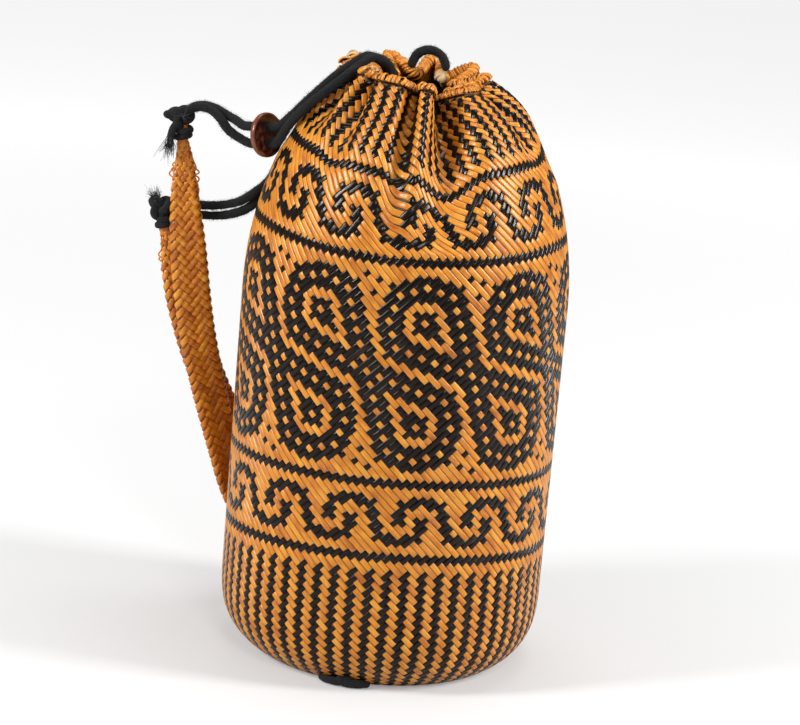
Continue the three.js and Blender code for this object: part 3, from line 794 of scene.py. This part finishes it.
for start in range(0, columns, ring_repeat):
    for x, y, length in ring_all:
        lay(start + x, y, length, True)
        lay(start - x - length + 1, rings_from + rings_to - y + length - 1, length, True)

# Scrolls: the same hooked figure in both bands, fifteen times round, each half of it the
# other half turned round
scroll_repeat = 16
scroll_strokes = [
    (-3, -21, 5), (1, -19, 3), (4, -18, 2), (5, -19, 2), (7, -19, 2), (7, -21, 2),
    (8, -22, 2), (-2, -18, 1), (-3, -23, 3), (2, -22, 1),
]
upper_scroll = (13, 69)
for start in range(0, columns, scroll_repeat):
    for x, y, length in scroll_strokes:
        for dx, dy in ((0, 0), upper_scroll):
            lay(start + x + dx, y + dy, length, False)
            lay(start + 1 - x - length + 1 + dx, -45 - y - length + 1 + dy, length, False)


def cane_material(name, stops, edge_shade_and_dirt_colour, roughness, coat, coat_roughness, gloss=0.5):
    """Split cane: fibres along each strip, a shade of its own, dirt, and edges darkened with
    painted shade.
    """
    material, tree, shader = new_material(name, roughness[0], coat, coat_roughness, gloss=gloss)
    along, across, tone = (
        place(tree, "ShaderNodeAttribute", {"attribute_name": key}).outputs["Fac"]
        for key in ("along", "across", "tone")
    )
    apart = maths(tree, "MULTIPLY", tone, 97.0)
    strip = place(tree, "ShaderNodeCombineXYZ", X=along, Y=across, Z=apart)
    long_way = place(tree, "ShaderNodeMapping", Vector=strip, Scale=(0.22, 5.0, 1.0))
    slow = place(tree, "ShaderNodeMapping", Vector=strip, Scale=(0.05, 0.25, 1.0))
    fibre = noise(tree, long_way, 1.0, 4.0, Roughness=0.65)
    shade = noise(tree, slow, 1.0, 2.0)
    specks = noise(tree, object_spot(tree), 55.0, 6.0, Roughness=0.7)
    near_edge = maths(tree, "POWER", maths(tree, "ABSOLUTE", across), 4.0)
    fibres = maths(tree, "MULTIPLY_ADD", fibre, 0.62, -0.31)
    colour = ramp(tree, maths(tree, "ADD", fibres, shade), stops)
    # Painted shade: each strip darkens towards its edges, where it meets its neighbours and passes
    # under the crossing strips. The dirt specks share this dark colour.
    edge = remap(tree, near_edge, 0.55, 1.0, to_high=0.9)
    dirty = remap(tree, specks, 0.55, 0.8, to_high=0.35)
    dirt_and_edge_shade = maths(tree, "MAXIMUM", edge, dirty)
    feed(
        tree, shader, Base_Color=mix(tree, dirt_and_edge_shade, colour, (*edge_shade_and_dirt_colour, 1)),
        Roughness=remap(tree, fibre, 0.3, 0.7, *roughness), Specular_Tint=(1.0, 0.82, 0.68, 1),
    )
    bumped(tree, shader, fibre, 0.45, 0.00025)
    return material


# The colour after the stops is painted shade at the strips' edges, and also the colour of the dirt
# specks.
orange_cane = cane_material(
    "orange_cane",
    [(0.16, (0.32, 0.065, 0.004)), (0.38, (0.58, 0.18, 0.014)), (0.56, (0.76, 0.285, 0.022)),
     (0.82, (0.88, 0.43, 0.06))],
    (0.22, 0.055, 0.008), (0.28, 0.46), 0.3, 0.22,
)
black_cane = cane_material(
    "black_cane",
    [(0.3, (0.003, 0.0015, 0.001)), (0.6, (0.007, 0.004, 0.003)), (0.85, (0.03, 0.018, 0.012))],
    (0.001, 0.001, 0.001), (0.16, 0.3), 0.2, 0.12, 0.22,
)

# A flat strip with a rounded back, swept along each run of edges
strip_tree, strip_in, strip_out = new_tree(
    "strips",
    {"Width": 0.00395, "Thickness": 0.0006, "Roundness": 0.24, "Light Cane": orange_cane,
     "Dark Cane": black_cane},
)


strip_node = partial(place, strip_tree)
strip_maths = partial(maths, strip_tree)


def named(name, kind="FLOAT"):
    node = strip_node("GeometryNodeInputNamedAttribute", {"data_type": kind}, Name=name)
    return node.outputs["Attribute"]


def compared(value, operation, limit):
    settings = {"operation": operation}
    return strip_node("FunctionNodeCompare", settings, slot_0=value, slot_1=limit)


strip_facing = named("facing", "FLOAT_VECTOR")
strip_shift = strip_node(
    "ShaderNodeVectorMath", {"operation": "SCALE"}, slot_0=strip_facing,
    Scale=strip_maths("MULTIPLY", named("lift"), strip_in["Thickness"]),
)
strip_lines = strip_node("GeometryNodeMeshToCurve", Mesh=strip_in["Geometry"])
strip_woven = strip_node("GeometryNodeSetPosition", Geometry=strip_lines, Offset=strip_shift)
strip_faced = strip_node(
    "GeometryNodeSetCurveNormal", {"mode": "FREE"}, Curve=strip_woven, Normal=strip_facing
)
strip_arc = strip_node("GeometryNodeCurveArc", Resolution=6, Radius=1.0, Sweep_Angle=math.pi)
arc_place = strip_node("GeometryNodeInputPosition")
arc_parts = strip_node("ShaderNodeSeparateXYZ", Vector=arc_place).outputs
arc_level = strip_maths("MAXIMUM", arc_parts["Y"], 0.0)
arc_round = strip_maths("POWER", arc_level, strip_in["Roundness"])
arc_high = strip_maths("MULTIPLY", arc_round, strip_in["Thickness"])
arc_half = strip_maths("MULTIPLY", strip_in["Width"], 0.5)
arc_wide = strip_maths("MULTIPLY", arc_parts["X"], arc_half)
arc_kept = strip_node(
    "GeometryNodeStoreNamedAttribute", Geometry=strip_arc, Name="across", Value=arc_parts["X"]
)
arc_moved = strip_node("ShaderNodeCombineXYZ", X=arc_high, Y=arc_wide, Z=0.0)
arc_shaped = strip_node("GeometryNodeSetPosition", Geometry=arc_kept, Position=arc_moved)
strip_swept = strip_node(
    "GeometryNodeCurveToMesh", Curve=strip_faced, Profile_Curve=arc_shaped,
    Scale=named("slimness"),
)
strip_seen = strip_node(
    "GeometryNodeDeleteGeometry", {"domain": "FACE", "mode": "ONLY_FACE"},
    Geometry=strip_swept, Selection=compared(named("lift"), "LESS_THAN", -0.95),
)
strip_light = strip_node(
    "GeometryNodeSetMaterial", Geometry=strip_seen, Material=strip_in["Light Cane"]
)
strip_dark = strip_node(
    "GeometryNodeSetMaterial", Geometry=strip_light,
    Selection=compared(named("dark"), "GREATER_THAN", 0.5), Material=strip_in["Dark Cane"],
)
feed(strip_tree, strip_out, Geometry=strip_dark)


def strips_object(name, runs, **values):
    """Runs of strip as one piece. A run says, at each point or for all of them, where it is
    (at), which way is out (facing), along, tone, and lift, dark and slimness if need be."""
    runs = [{"lift": 0.0, "dark": 0.0, "slimness": 1.0} | run for run in runs]
    at, out = (np.concatenate([run[key] for run in runs]) for key in ("at", "facing"))
    ends = np.cumsum([len(run["at"]) for run in runs]) - 1
    firsts = np.setdiff1d(np.arange(len(at)), ends)
    mesh = bpy.data.meshes.new(name)
    mesh.vertices.add(len(at))
    mesh.vertices.foreach_set("co", (at * MM).astype(np.float32).ravel())
    mesh.edges.add(len(firsts))
    edges = np.stack([firsts, firsts + 1], axis=1).astype(np.int32)
    mesh.edges.foreach_set("vertices", edges.ravel())
    facing = mesh.attributes.new("facing", "FLOAT_VECTOR", "POINT")
    facing.data.foreach_set("vector", out.astype(np.float32).ravel())
    for key in ("lift", "along", "tone", "dark", "slimness"):
        column = mesh.attributes.new(key, "FLOAT", "POINT")
        parts = [np.broadcast_to(run[key], len(run["at"])) for run in runs]
        column.data.foreach_set("value", np.concatenate(parts).astype(np.float32))
    piece = grown(added("base", mesh), strip_tree, name, **values)
    piece.data.polygons.foreach_set("use_smooth", [True] * len(piece.data.polygons))
    return piece


def woven(at, facing, on_top, along, tone, orange, slimness=1.0):
    """A run of one of the two sets of strips, which shows where it lies on top."""
    lift = np.where(on_top, 0.0, -1.0)
    return dict(
        at=at, facing=facing, lift=lift, along=along, tone=tone, dark=float(not orange),
        slimness=slimness,
    )


def either_side(rows, *offsets):
    """Places at these distances from each row, from low to high."""
    return np.sort(np.concatenate([rows + offset for offset in offsets]))


strip_pitch = 4.07
sample_places = 0.3
strip_tones = np.random.default_rng(5).uniform(0, 1, (2, columns // 2))


def wall_runs(low, high):
    """The runs of both sets of strips between two rows of the wall."""
    rows = np.arange(low, high + 1)
    places = either_side(rows, -sample_places, sample_places)
    places = places[(places > low - 0.5) & (places <= min(high + 0.5, highest_row))]
    if high < highest_row:
        places = np.append(places, high + 1 - sample_places)
    nearest = np.rint(places).astype(int)
    index = np.clip(nearest, lowest_row, highest_row) - lowest_row
    runs = []
    for orange in (False, True):
        for strip in range(columns // 2):
            x = 2 * strip + (-places if orange else places)
            cell = (2 * strip + (-nearest if orange else nearest)) % columns
            on_top = orange_on_top[index, cell] == orange
            pitch = on_net(strip_pitches[orange], x, places)[:, 0]
            at, facing = on_net(net, x, places), on_net(net_out, x, places)
            slimness = np.clip(pitch / strip_pitch, 0.5, 1.12)
            tone = strip_tones[int(orange), strip]
            runs.append(woven(at, facing, on_top, places * strip_pitch, tone, orange, slimness))
    return runs


wall_bands = [
    ("plait_heel", lowest_row, -33), ("plait_lower_scrolls", -32, -14),
    ("plait_lower_rings", -13, 12), ("plait_upper_rings", 13, 37), ("plait_neck", 38, highest_row),
]
for band_name, low, high in wall_bands:
    band = strips_object(band_name, wall_runs(low, high))
    dress("basket_body", "plaited_cane", "basket", band)

# The inner face of the plait, which closes the wall behind the strips and shows inside the mouth
liner_rows = np.arange(int(row_marks[0]), highest_row + 1)
liner_columns = np.arange(0, columns, 1.0)
liner_inset = 1.75
liner_outer = wall_net(liner_inset, liner_rows, liner_columns)
liner_inner = wall_net(wall_thickness, liner_rows, liner_columns)
liner_inner[0, :, 2] += wall_thickness - liner_inset
liner_grid = np.concatenate([liner_outer, liner_inner[::-1]])
inner_cane, inner_nodes, inner_shader = new_material("inner_cane", 0.6)
inner_turn = place(
    inner_nodes, "ShaderNodeMapping", Vector=thread_map(inner_nodes), Rotation=(0, 0, 0.785)
)
inner_check = place(
    inner_nodes, "ShaderNodeTexBrick", Vector=inner_turn, Scale=1.0, Mortar_Size=0.25,
    Color1=(0.30, 0.13, 0.035, 1), Color2=(0.02, 0.012, 0.008, 1),
    Mortar=(0.01, 0.006, 0.004, 1), Brick_Width=8.0, Row_Height=4.0,
)
feed(inner_nodes, inner_shader, Base_Color=inner_check)
bumped(inner_nodes, inner_shader, inner_check.outputs["Fac"], 0.8, 0.0006, invert=True)
liner = skin_object("plait_inner_face", liner_grid, inner_cane, capped=False)
dress("basket_body", "plaited_cane", "basket", liner)

# Drawcord in the pleats
# The same cotton cord, laced through the plait below the rim. It draws the mouth together,
# and is hidden in the folds from outside.
drawcord_height = 388.0
drawcord_ring = 54.0
exit_middle = -62.0
exit_half = 14.0
tucked_in = 5.6
laced = np.linspace(exit_middle + 1.75 * exit_half, exit_middle + 360 - 1.75 * exit_half, 90)


def laced_end(side):
    """The cord's way from the ring inside the mouth up to a strand's start."""
    at, across = front_pair[0]
    start = np.array(at) - side * np.array(across)
    way = [start, start - [0, 0, 2]]
    for half, share, drop in ((0.57, 0.56, 1.2), (0.72, 0.7, 1.5), (1.1, 0.88, 0.8)):
        angle = exit_middle + half * side * exit_half
        height = drawcord_height - drop * 2 * cord_radius
        way.append(polar(angle, share * drawcord_ring, height))
    return way


laced_near = wall_point(laced[:, None] + np.linspace(-10, 10, 9), drawcord_height - 3, tucked_in)
laced_reach = np.linalg.norm(laced_near[..., :2], axis=2).min(axis=1)
laced_way = list(polar(laced, np.minimum(laced_reach, drawcord_ring), laced_near[:, 4, 2]))
laced_line = smooth_line(laced_end(1) + laced_way + laced_end(-1)[::-1], 1.2)
laced_cord = cord_object("drawcord_in_pleats", laced_line, cord_radius, 43)
dress("drawcord_in_rim", "cord", "basket", laced_cord)

# Base mat
# The flat base is the same strips crossing square in a plain twill, where the basket was
# begun. The turned-in ends of the wall's strips lie over its edge.
mat_radius = 80.0
mat_height = 1.7
mat_runs = []
mat_tones = np.random.default_rng(8).uniform(0, 1, 200)
mat_count = int(mat_radius // strip_pitch)
for orange in (False, True):
    for strip in range(-mat_count, mat_count + 1):
        side = strip * strip_pitch
        reach = math.sqrt(max(mat_radius**2 - side**2, 0))
        cells = np.arange(-int(reach // strip_pitch), int(reach // strip_pitch) + 1)
        if len(cells) < 3:
            continue
        places = either_side(cells, -sample_places, sample_places)
        nearest = np.rint(places).astype(int)
        on_top = ((nearest + strip) % 4 >= 2) == orange
        flat = np.full(len(places), side)
        run = places * strip_pitch
        xy = (run, flat) if orange else (flat, run)
        at = np.stack([*xy, np.full(len(places), mat_height)], axis=1)
        facing = np.tile([0, 0, -1.0], (len(places), 1))
        tone = mat_tones[strip + mat_count + 60 * orange]
        mat_runs.append(woven(at, facing, on_top, run, tone, orange))
mat = strips_object("plait_base_mat", mat_runs)

# The inside of the base, over the mat
mat_rings = [
    polar(np.arange(0, 360, 5.0), radius, height)
    for radius, height in ((84, 2.6), (84, 4.0), (40, 4.0), (4, 4.0))
]
mat_top = skin_object("plait_base_inside", np.stack(mat_rings), inner_cane)
dress("basket_body", "plaited_cane", "basket", mat, mat_top)

# Bound rim
# The ends of the strips are folded over the edge and bound down: bundles of narrow split cane
# wrapped over the rim at a slant, side by side, paler where the bark side shows.
binding_radius = 2.9
binding_seat = 2.3
wrap_count = 124
wrap_length = 26
wrap_rows, fan_rows = 6.0, 10.5
fan_from, fan_to = 36, 112
edge_row = row_marks[-2]
wrap_rng = np.random.default_rng(23)
net_rising = unit(net_up)
pale_wraps = [(96, 100), (106, 110), (151, 159), (171, 177)]


def over_edge(x, turn, wide):
    """A point of the binding: turn 0 faces outward, and 180 into the mouth."""
    at_edge = on_net(net, x, edge_row)
    out = on_net(net_out, x, edge_row)
    rising = on_net(net_rising, x, edge_row)
    centre = at_edge - (wall_thickness / 2 - strip_inset) * out + binding_seat * rising
    way = np.cos(turn)[:, None] * out + np.sin(turn)[:, None] * rising
    return centre + wide * way, way


def inside_edge(x, row):
    """A point on the inner face of the plait, below the edge."""
    out = on_net(net_out, x, row)
    return on_net(net, x, row) - (wall_thickness + 0.3) * out, -out


wrap_runs = []
fan_runs = []
straw_runs = []
for wrap in range(wrap_count):
    start = wrap * columns / wrap_count + wrap_rng.uniform(-0.15, 0.15)
    wide = binding_radius + wrap_rng.uniform(0, 0.5)
    slant = wrap_rng.uniform(2.0, 3.2)
    pale = any(low <= start <= high for low, high in pale_wraps)
    fanned = fan_from <= start <= fan_to
    long_way = (fan_rows if fanned else wrap_rows) * wrap_rng.uniform(0.8, 1.15)
    twist = wrap_rng.uniform(0, 6.28)
    for strand in range(4 if fanned else 3):
        turn = np.radians(np.linspace(-40, 200, 14))
        rows = np.linspace(edge_row - 0.5, edge_row - long_way, 14)
        share = np.linspace(0, 1, 28)
        wound = twist + 4 * share + 2.1 * strand
        x = start + slant * (share**0.8) + 0.42 * strand + 0.22 * np.cos(wound)
        over, over_way = over_edge(x[:14], turn, wide)
        under, under_way = inside_edge(x[14:], rows)
        facing = np.concatenate([over_way, under_way])
        at = np.concatenate([over, under]) + 0.45 * np.sin(wound)[:, None] * facing
        along = share * wrap_length + wrap_rng.uniform(0, 90)
        run = dict(at=at, facing=facing, along=along, tone=wrap_rng.uniform(0, 1))
        (straw_runs if pale else fan_runs if fanned else wrap_runs).append(run)
# The colour after the stops is painted shade at the wraps' edges, and also the colour of the dirt
# specks.
straw = cane_material(
    "pale_straw",
    [(0.2, (0.42, 0.22, 0.08)), (0.45, (0.62, 0.40, 0.19)), (0.7, (0.80, 0.60, 0.36)),
     (0.85, (0.90, 0.74, 0.52))],
    (0.20, 0.09, 0.03), (0.4, 0.6), 0.1, 0.3,
)
binding = strips_object("rim_wraps", wrap_runs, Width=0.0021, Thickness=0.0009, Roundness=0.6)
fan = strips_object("rim_fan", fan_runs, Width=0.0019, Thickness=0.0009, Roundness=0.6)
straw_wraps = strips_object(
    "rim_straw_wraps", straw_runs, Width=0.0029, Thickness=0.0008, Roundness=0.45, Light_Cane=straw
)
core_x = np.arange(0, columns, column_step)
core_turns = np.radians(np.linspace(0, 360, 9)[:-1])
core_rings = np.stack(
    [over_edge(core_x, np.full(len(core_x), t), binding_radius - 0.7)[0] for t in core_turns],
    axis=1,
)
rim_core = skin_object("rim_core", core_rings[:, ::-1], inner_cane, joined=True)
dress("rim_binding", "binding_cane", "basket", binding, fan, straw_wraps, rim_core)

# Shoulder straps
# Each is a flat herringbone plait of plump amber cane, 25 mm wide, that narrows to the loop at
# its top and to a rolled foot below. The strands lie side by side in slanting rows of ears.
strap_width = 24.5
strap_thickness = 5.0
strap_top_width = 7.5
top_widens = 0.07, 0.36
foot_rolls = 0.66, 0.81
pin_diameter = 7.0
pin_length = 20.0
pin_radius = wall_radius + 4.4
foot_height = 9.0
strap_columns = 16
strand_row = 3.5
strand_run = 4.8
strand_rise = 0.9
core_depth = 1.3
core_squareness = 0.6
loose_count = 9
loose_radius = 0.55
front_strap_route = [
    (-99.2, 0.866, 0.798, 4), (-99.3, 0.841, 0.784, 4), (-99.7, 0.811, 0.756, 5),
    (-100.4, 0.754, 0.739, 6), (-102.3, 0.669, 0.698, 9), (-105.1, 0.580, 0.655, 14),
    (-108.4, 0.493, 0.603, 20), (-112.4, 0.403, 0.521, 27), (-116.9, 0.299, 0.401, 40),
    (-121.5, 0.194, 0.265, 54), (-127.3, 0.119, 0.135, 52),
]
back_strap_route = [
    (-105.2, 0.699, 1.037, 2), (-105.5, 0.677, 1.006, 2), (-106.0, 0.652, 0.950, 3),
    (-107.1, 0.612, 0.884, 6), (-109.2, 0.552, 0.804, 12), (-112.9, 0.468, 0.699, 20),
    (-118.4, 0.378, 0.567, 28), (-126.6, 0.289, 0.427, 36), (-137.4, 0.194, 0.297, 42),
    (-146.7, 0.119, 0.169, 32),
]
# The colour after the stops is painted shade at the strands' edges, and also the colour of the
# dirt specks.
amber_cane = cane_material(
    "amber_cane",
    [(0.16, (0.26, 0.050, 0.003)), (0.4, (0.54, 0.145, 0.006)), (0.6, (0.76, 0.26, 0.013)),
     (0.82, (0.92, 0.46, 0.05))],
    (0.06, 0.012, 0.001), (0.26, 0.45), 0.45, 0.22,
)


def strap_section(route, swing_point, foot_angle):
    """A strap's middle line, its ways across and outward, its width and its thickness."""
    foot = polar(foot_angle, pin_radius, foot_height)
    axis = unit(np.array(swing_point) - foot)
    middle = [beside_wall(angle, rise, bow) for angle, rise, bow, turn in route]
    middle += [foot + axis * pin_length, foot + axis * pin_length / 2, foot]
    turns = [turn for angle, rise, bow, turn in route] + [route[-1][3]] * 3
    marks = np.arange(len(middle)) / (len(middle) - 1)
    line = smooth_line(middle, 0.8)
    nearest = np.array([np.argmin(np.linalg.norm(line - p, axis=1)) for p in middle])
    share = np.interp(np.arange(len(line)), nearest, marks)
    turn = np.radians(np.interp(share, marks, turns))
    along = unit(np.gradient(line, axis=0))
    across = np.stack([np.cos(turn), np.sin(turn), 0 * turn], axis=1)
    across = unit(across - along * (across * along).sum(axis=1)[:, None])
    rolled = eased(share, *foot_rolls)
    broad = strap_top_width + (strap_width - strap_top_width) * eased(share, *top_widens)
    width = broad + (pin_diameter - broad) * rolled
    thick = strap_thickness + (pin_diameter - strap_thickness) * rolled
    return line, across, np.cross(along, across), width, thick


def on_strap(section, rows_at, x, y):
    """The strap's surface and its outward way, by strand column and row."""
    at = np.interp(y, rows_at, np.arange(len(section)))
    low = np.clip(at.astype(int), 0, len(section) - 2)
    part = (at - low)[:, None]
    section = section[low] * (1 - part) + section[low + 1] * part
    centre, flat_way, out_way, wide, deep = np.split(section, [3, 6, 9, 10], axis=1)
    half_t = deep[:, 0] / 2 - strand_rise
    flat = np.maximum(wide[:, 0] - 2 * (half_t + strand_rise), 0)
    whole = 2 * (flat + np.pi * half_t)
    run = np.mod(x / strap_columns, 1) * whole
    far = run >= whole / 2
    run = np.where(far, run - whole / 2, run)
    bend = np.clip((run - flat) / half_t, 0, np.pi)
    nx, ny = -np.sin(bend), np.cos(bend)
    cx = flat / 2 - np.minimum(run, flat) + nx * half_t
    turned = np.where(far, -1.0, 1.0)
    cx, cy, nx, ny = ((turned * value)[:, None] for value in (cx, ny * half_t, nx, ny))
    return centre + cx * flat_way + cy * out_way, unit(nx * flat_way + ny * out_way)


def strap_object(name, route, swing_point, foot_angle, seed):
    """A strap: two sets of strands wound round its flat section, each over two, under two."""
    line, across, out, width, thick = strap_section(route, swing_point, foot_angle)
    section = np.column_stack([line, across, out, width, thick])
    rows_at = travel(line) / strand_row
    rows = np.arange(0, int(rows_at[-1]) + 1)
    places = either_side(rows, -sample_places, 0, sample_places)
    places = places[(places >= 0) & (places <= rows_at[-1])]
    nearest_row = np.rint(places).astype(int)
    bulge = 0.25 * (1 - (np.abs(places - nearest_row) / sample_places) ** 2)
    slimness = np.interp(places, rows_at, 0.55 + 0.45 * width / strap_width)
    rng = np.random.default_rng(seed)
    runs = []
    for family in (1, -1):
        for strand in range(strap_columns // 2):
            at, facing = on_strap(section, rows_at, 2 * strand + family * places, places)
            on_top = (np.mod(2 * strand + family * nearest_row, 4) >= 2) == (family > 0)
            run = dict(at=at, facing=facing, lift=np.where(on_top, bulge - 0.1, -0.9))
            run["along"] = places * strand_run + rng.uniform(0, 50)
            run["tone"] = rng.uniform(0, 1)
            run["slimness"] = slimness
            runs.append(run)
    plait = strips_object(
        name, runs, Width=0.0049, Thickness=0.0016, Roundness=0.62, Light_Cane=amber_cane
    )
    core_turn = np.arange(16) * 2 * np.pi / 16
    ways = np.cos(core_turn), np.sin(core_turn)
    cx, cy = ((np.sign(way) * np.abs(way) ** core_squareness)[:, None] for way in ways)
    half_wide, half_thick = (size[::4, None, None] / 2 - core_depth for size in (width, thick))
    rings = line[::4, None] + half_wide * cx * across[::4, None] + half_thick * cy * out[::4, None]
    core = skin_object(name + "_core", rings, inner_cane)
    return plait, core, loose_loops(name + "_loose_ends", line, across, width, seed)


def loose_loops(name, line, across, width, seed):
    """Short ends of cane that have sprung out of the plait's edges below its top."""
    rng = np.random.default_rng(seed)
    loops = []
    for k in range(loose_count):
        side = 1 if k % 3 else -1
        low = int(len(line) * rng.uniform(0.085, 0.15))
        high = low - int(rng.uniform(6, 12))
        edge = (width[low] / 2 - 0.8) * side
        reach = rng.uniform(1.6, 3.4) * side
        start = line[low] + edge * across[low]
        end = line[high] + (edge - 0.6 * side) * across[high]
        middle = (start + end) / 2 + reach * across[low] + rng.normal(0, 0.8, 3)
        way = smooth_line([start, middle, end], 0.8)
        loops.append(cord_object("loop", way, loose_radius, seed + k, finish=amber_cane))
    return join(name, *loops)


straps = (
    ("front_strap", front_strap_route, front_swing_point, -135, 61),
    ("back_strap", back_strap_route, back_swing_point, -158, 67),
)
for body, route, swing_point, foot_angle, seed in straps:
    pieces = strap_object(body + "_plait", route, swing_point, foot_angle, seed)
    dress(body, "strap_cane", body, *pieces)

# Lashings of the straps' feet
# Each foot is bound to the heel with turns of the same black cord, drawn tight side by side.
lashing_clear = 2.0
lashing_height = 17.0
lashing_width = 18.0
lashing_depth = 5.0
lashing_turns = 3
lashing_middle = lashing_clear + lashing_height / 2
lashing_outer = pin_radius + pin_diameter / 2 + lashing_depth - cord_radius
lashing_inner = float(profile_radius(lashing_middle))
for body, route, swing_point, foot_angle, seed in straps:
    t = np.linspace(0, 2 * np.pi * lashing_turns, 40 * lashing_turns)[:, None]
    reach = (lashing_outer + lashing_inner) / 2 + (lashing_outer - lashing_inner) / 2 * np.cos(t)
    sideways = (lashing_width / 2 - cord_radius) * np.sin(t)
    coil = reach * polar(foot_angle, 1.0, 0.0) + sideways * polar(foot_angle + 90, 1.0, 0.0)
    coil[:, 2:] = lashing_middle + (lashing_height - 2 * cord_radius) * (t / t[-1] - 0.5)
    lashing = cord_object(body + "_lashing_cord", spaced(coil, 1.1), tight_radius, seed)
    dress(body + "_lashing", "cord", "basket", lashing)

# Knot under the heel
# A short piece of the black cord is knotted through the plait at the front of the base, and
# its two ends lie flat under the heel.
knot_angle = -11.0
knot_middle_height = 5.6
knot_radius = float(profile_radius(knot_middle_height)) + 0.6
base_knot_route = [
    polar(knot_angle + off, knot_radius + reach, height)
    for off, reach, height in (
        (-11.5, -4.0, 3.1), (-8.5, -0.2, 3.1), (-5.0, 1.6, 3.2), (-1.5, 1.9, 3.4), (1.6, 1.0, 5.0),
        (2.4, -0.4, 7.2), (0.4, -0.6, 8.0), (-1.6, 0.6, 6.6), (-1.2, 2.2, 4.0), (2.2, 2.4, 3.3),
        (6.0, 1.2, 3.2), (10.5, -2.6, 3.1),
    )
]
base_line = smooth_line(base_knot_route, cord_step)
base_cord = cord_object("base_knot_cord", base_line, tight_radius, 73)
dress("base_knot", "cord", "basket", base_cord)

# Floor and light
# A pale floor under the basket with a painted glow, and soft lamps to its left, right, front and
# above.
floor_mesh = bpy.data.meshes.new("floor")
floor_mesh.from_pydata([(-6, -6, 0), (6, -6, 0), (6, 6, 0), (-6, 6, 0)], [], [(0, 1, 2, 3)])
floor = added("floor", floor_mesh)
floor_material, floor_nodes, floor_shader = new_material("pale_paper", 0.9)
floor_reach = maths(
    floor_nodes, "LENGTH", object_spot(floor_nodes), kind="ShaderNodeVectorMath"
)
# Painted glow that only camera rays see: weak near the basket, so its shadow stays, and stronger
# further off, so the far floor reads white.
painted_floor_glow = remap(floor_nodes, floor_reach, 0.1, 2.2, 0.25, 0.75)
seen = place(floor_nodes, "ShaderNodeLightPath").outputs["Is Camera Ray"]
feed(
    floor_nodes, floor_shader, Base_Color=(0.6, 0.6, 0.6, 1), Specular_IOR_Level=0.1,
    Emission_Color=(1, 1, 1, 1), Emission_Strength=maths(floor_nodes, "MULTIPLY", seen, painted_floor_glow),
)
floor.data.materials.append(floor_material)

world = bpy.data.worlds.new("studio")
bpy.context.scene.world = world
world.use_nodes = True
sky = world.node_tree
rays = place(sky, "ShaderNodeLightPath").outputs
backdrop = maths(sky, "MAXIMUM", rays["Is Camera Ray"], rays["Is Transmission Ray"])
glow = maths(sky, "MULTIPLY_ADD", backdrop, 0.79, 0.2)
feed(sky, sky.nodes["Background"], Color=(1, 1, 1, 1), Strength=glow)


def lamp(name, location, size, power):
    data = bpy.data.lights.new(name, "AREA")
    data.shape = "RECTANGLE"
    data.size, data.size_y = size
    data.energy = power
    light = added(name, data)
    light.location = location
    aim = Vector((0, 0, 0.2)) - Vector(location)
    light.rotation_euler = aim.to_track_quat("-Z", "Y").to_euler()


lamp("left_softbox", (-1.7, -0.85, 1.3), (0.4, 0.8), 37)
lamp("right_softbox", (1.8, -0.3, 1.15), (0.4, 0.9), 36)
lamp("front_softbox", (0.35, -1.7, 1.45), (0.5, 0.35), 8.5)
lamp("top_softbox", (0.1, 0.3, 2.0), (1.0, 0.8), 10)

bpy.context.scene.view_settings.view_transform = "Standard"
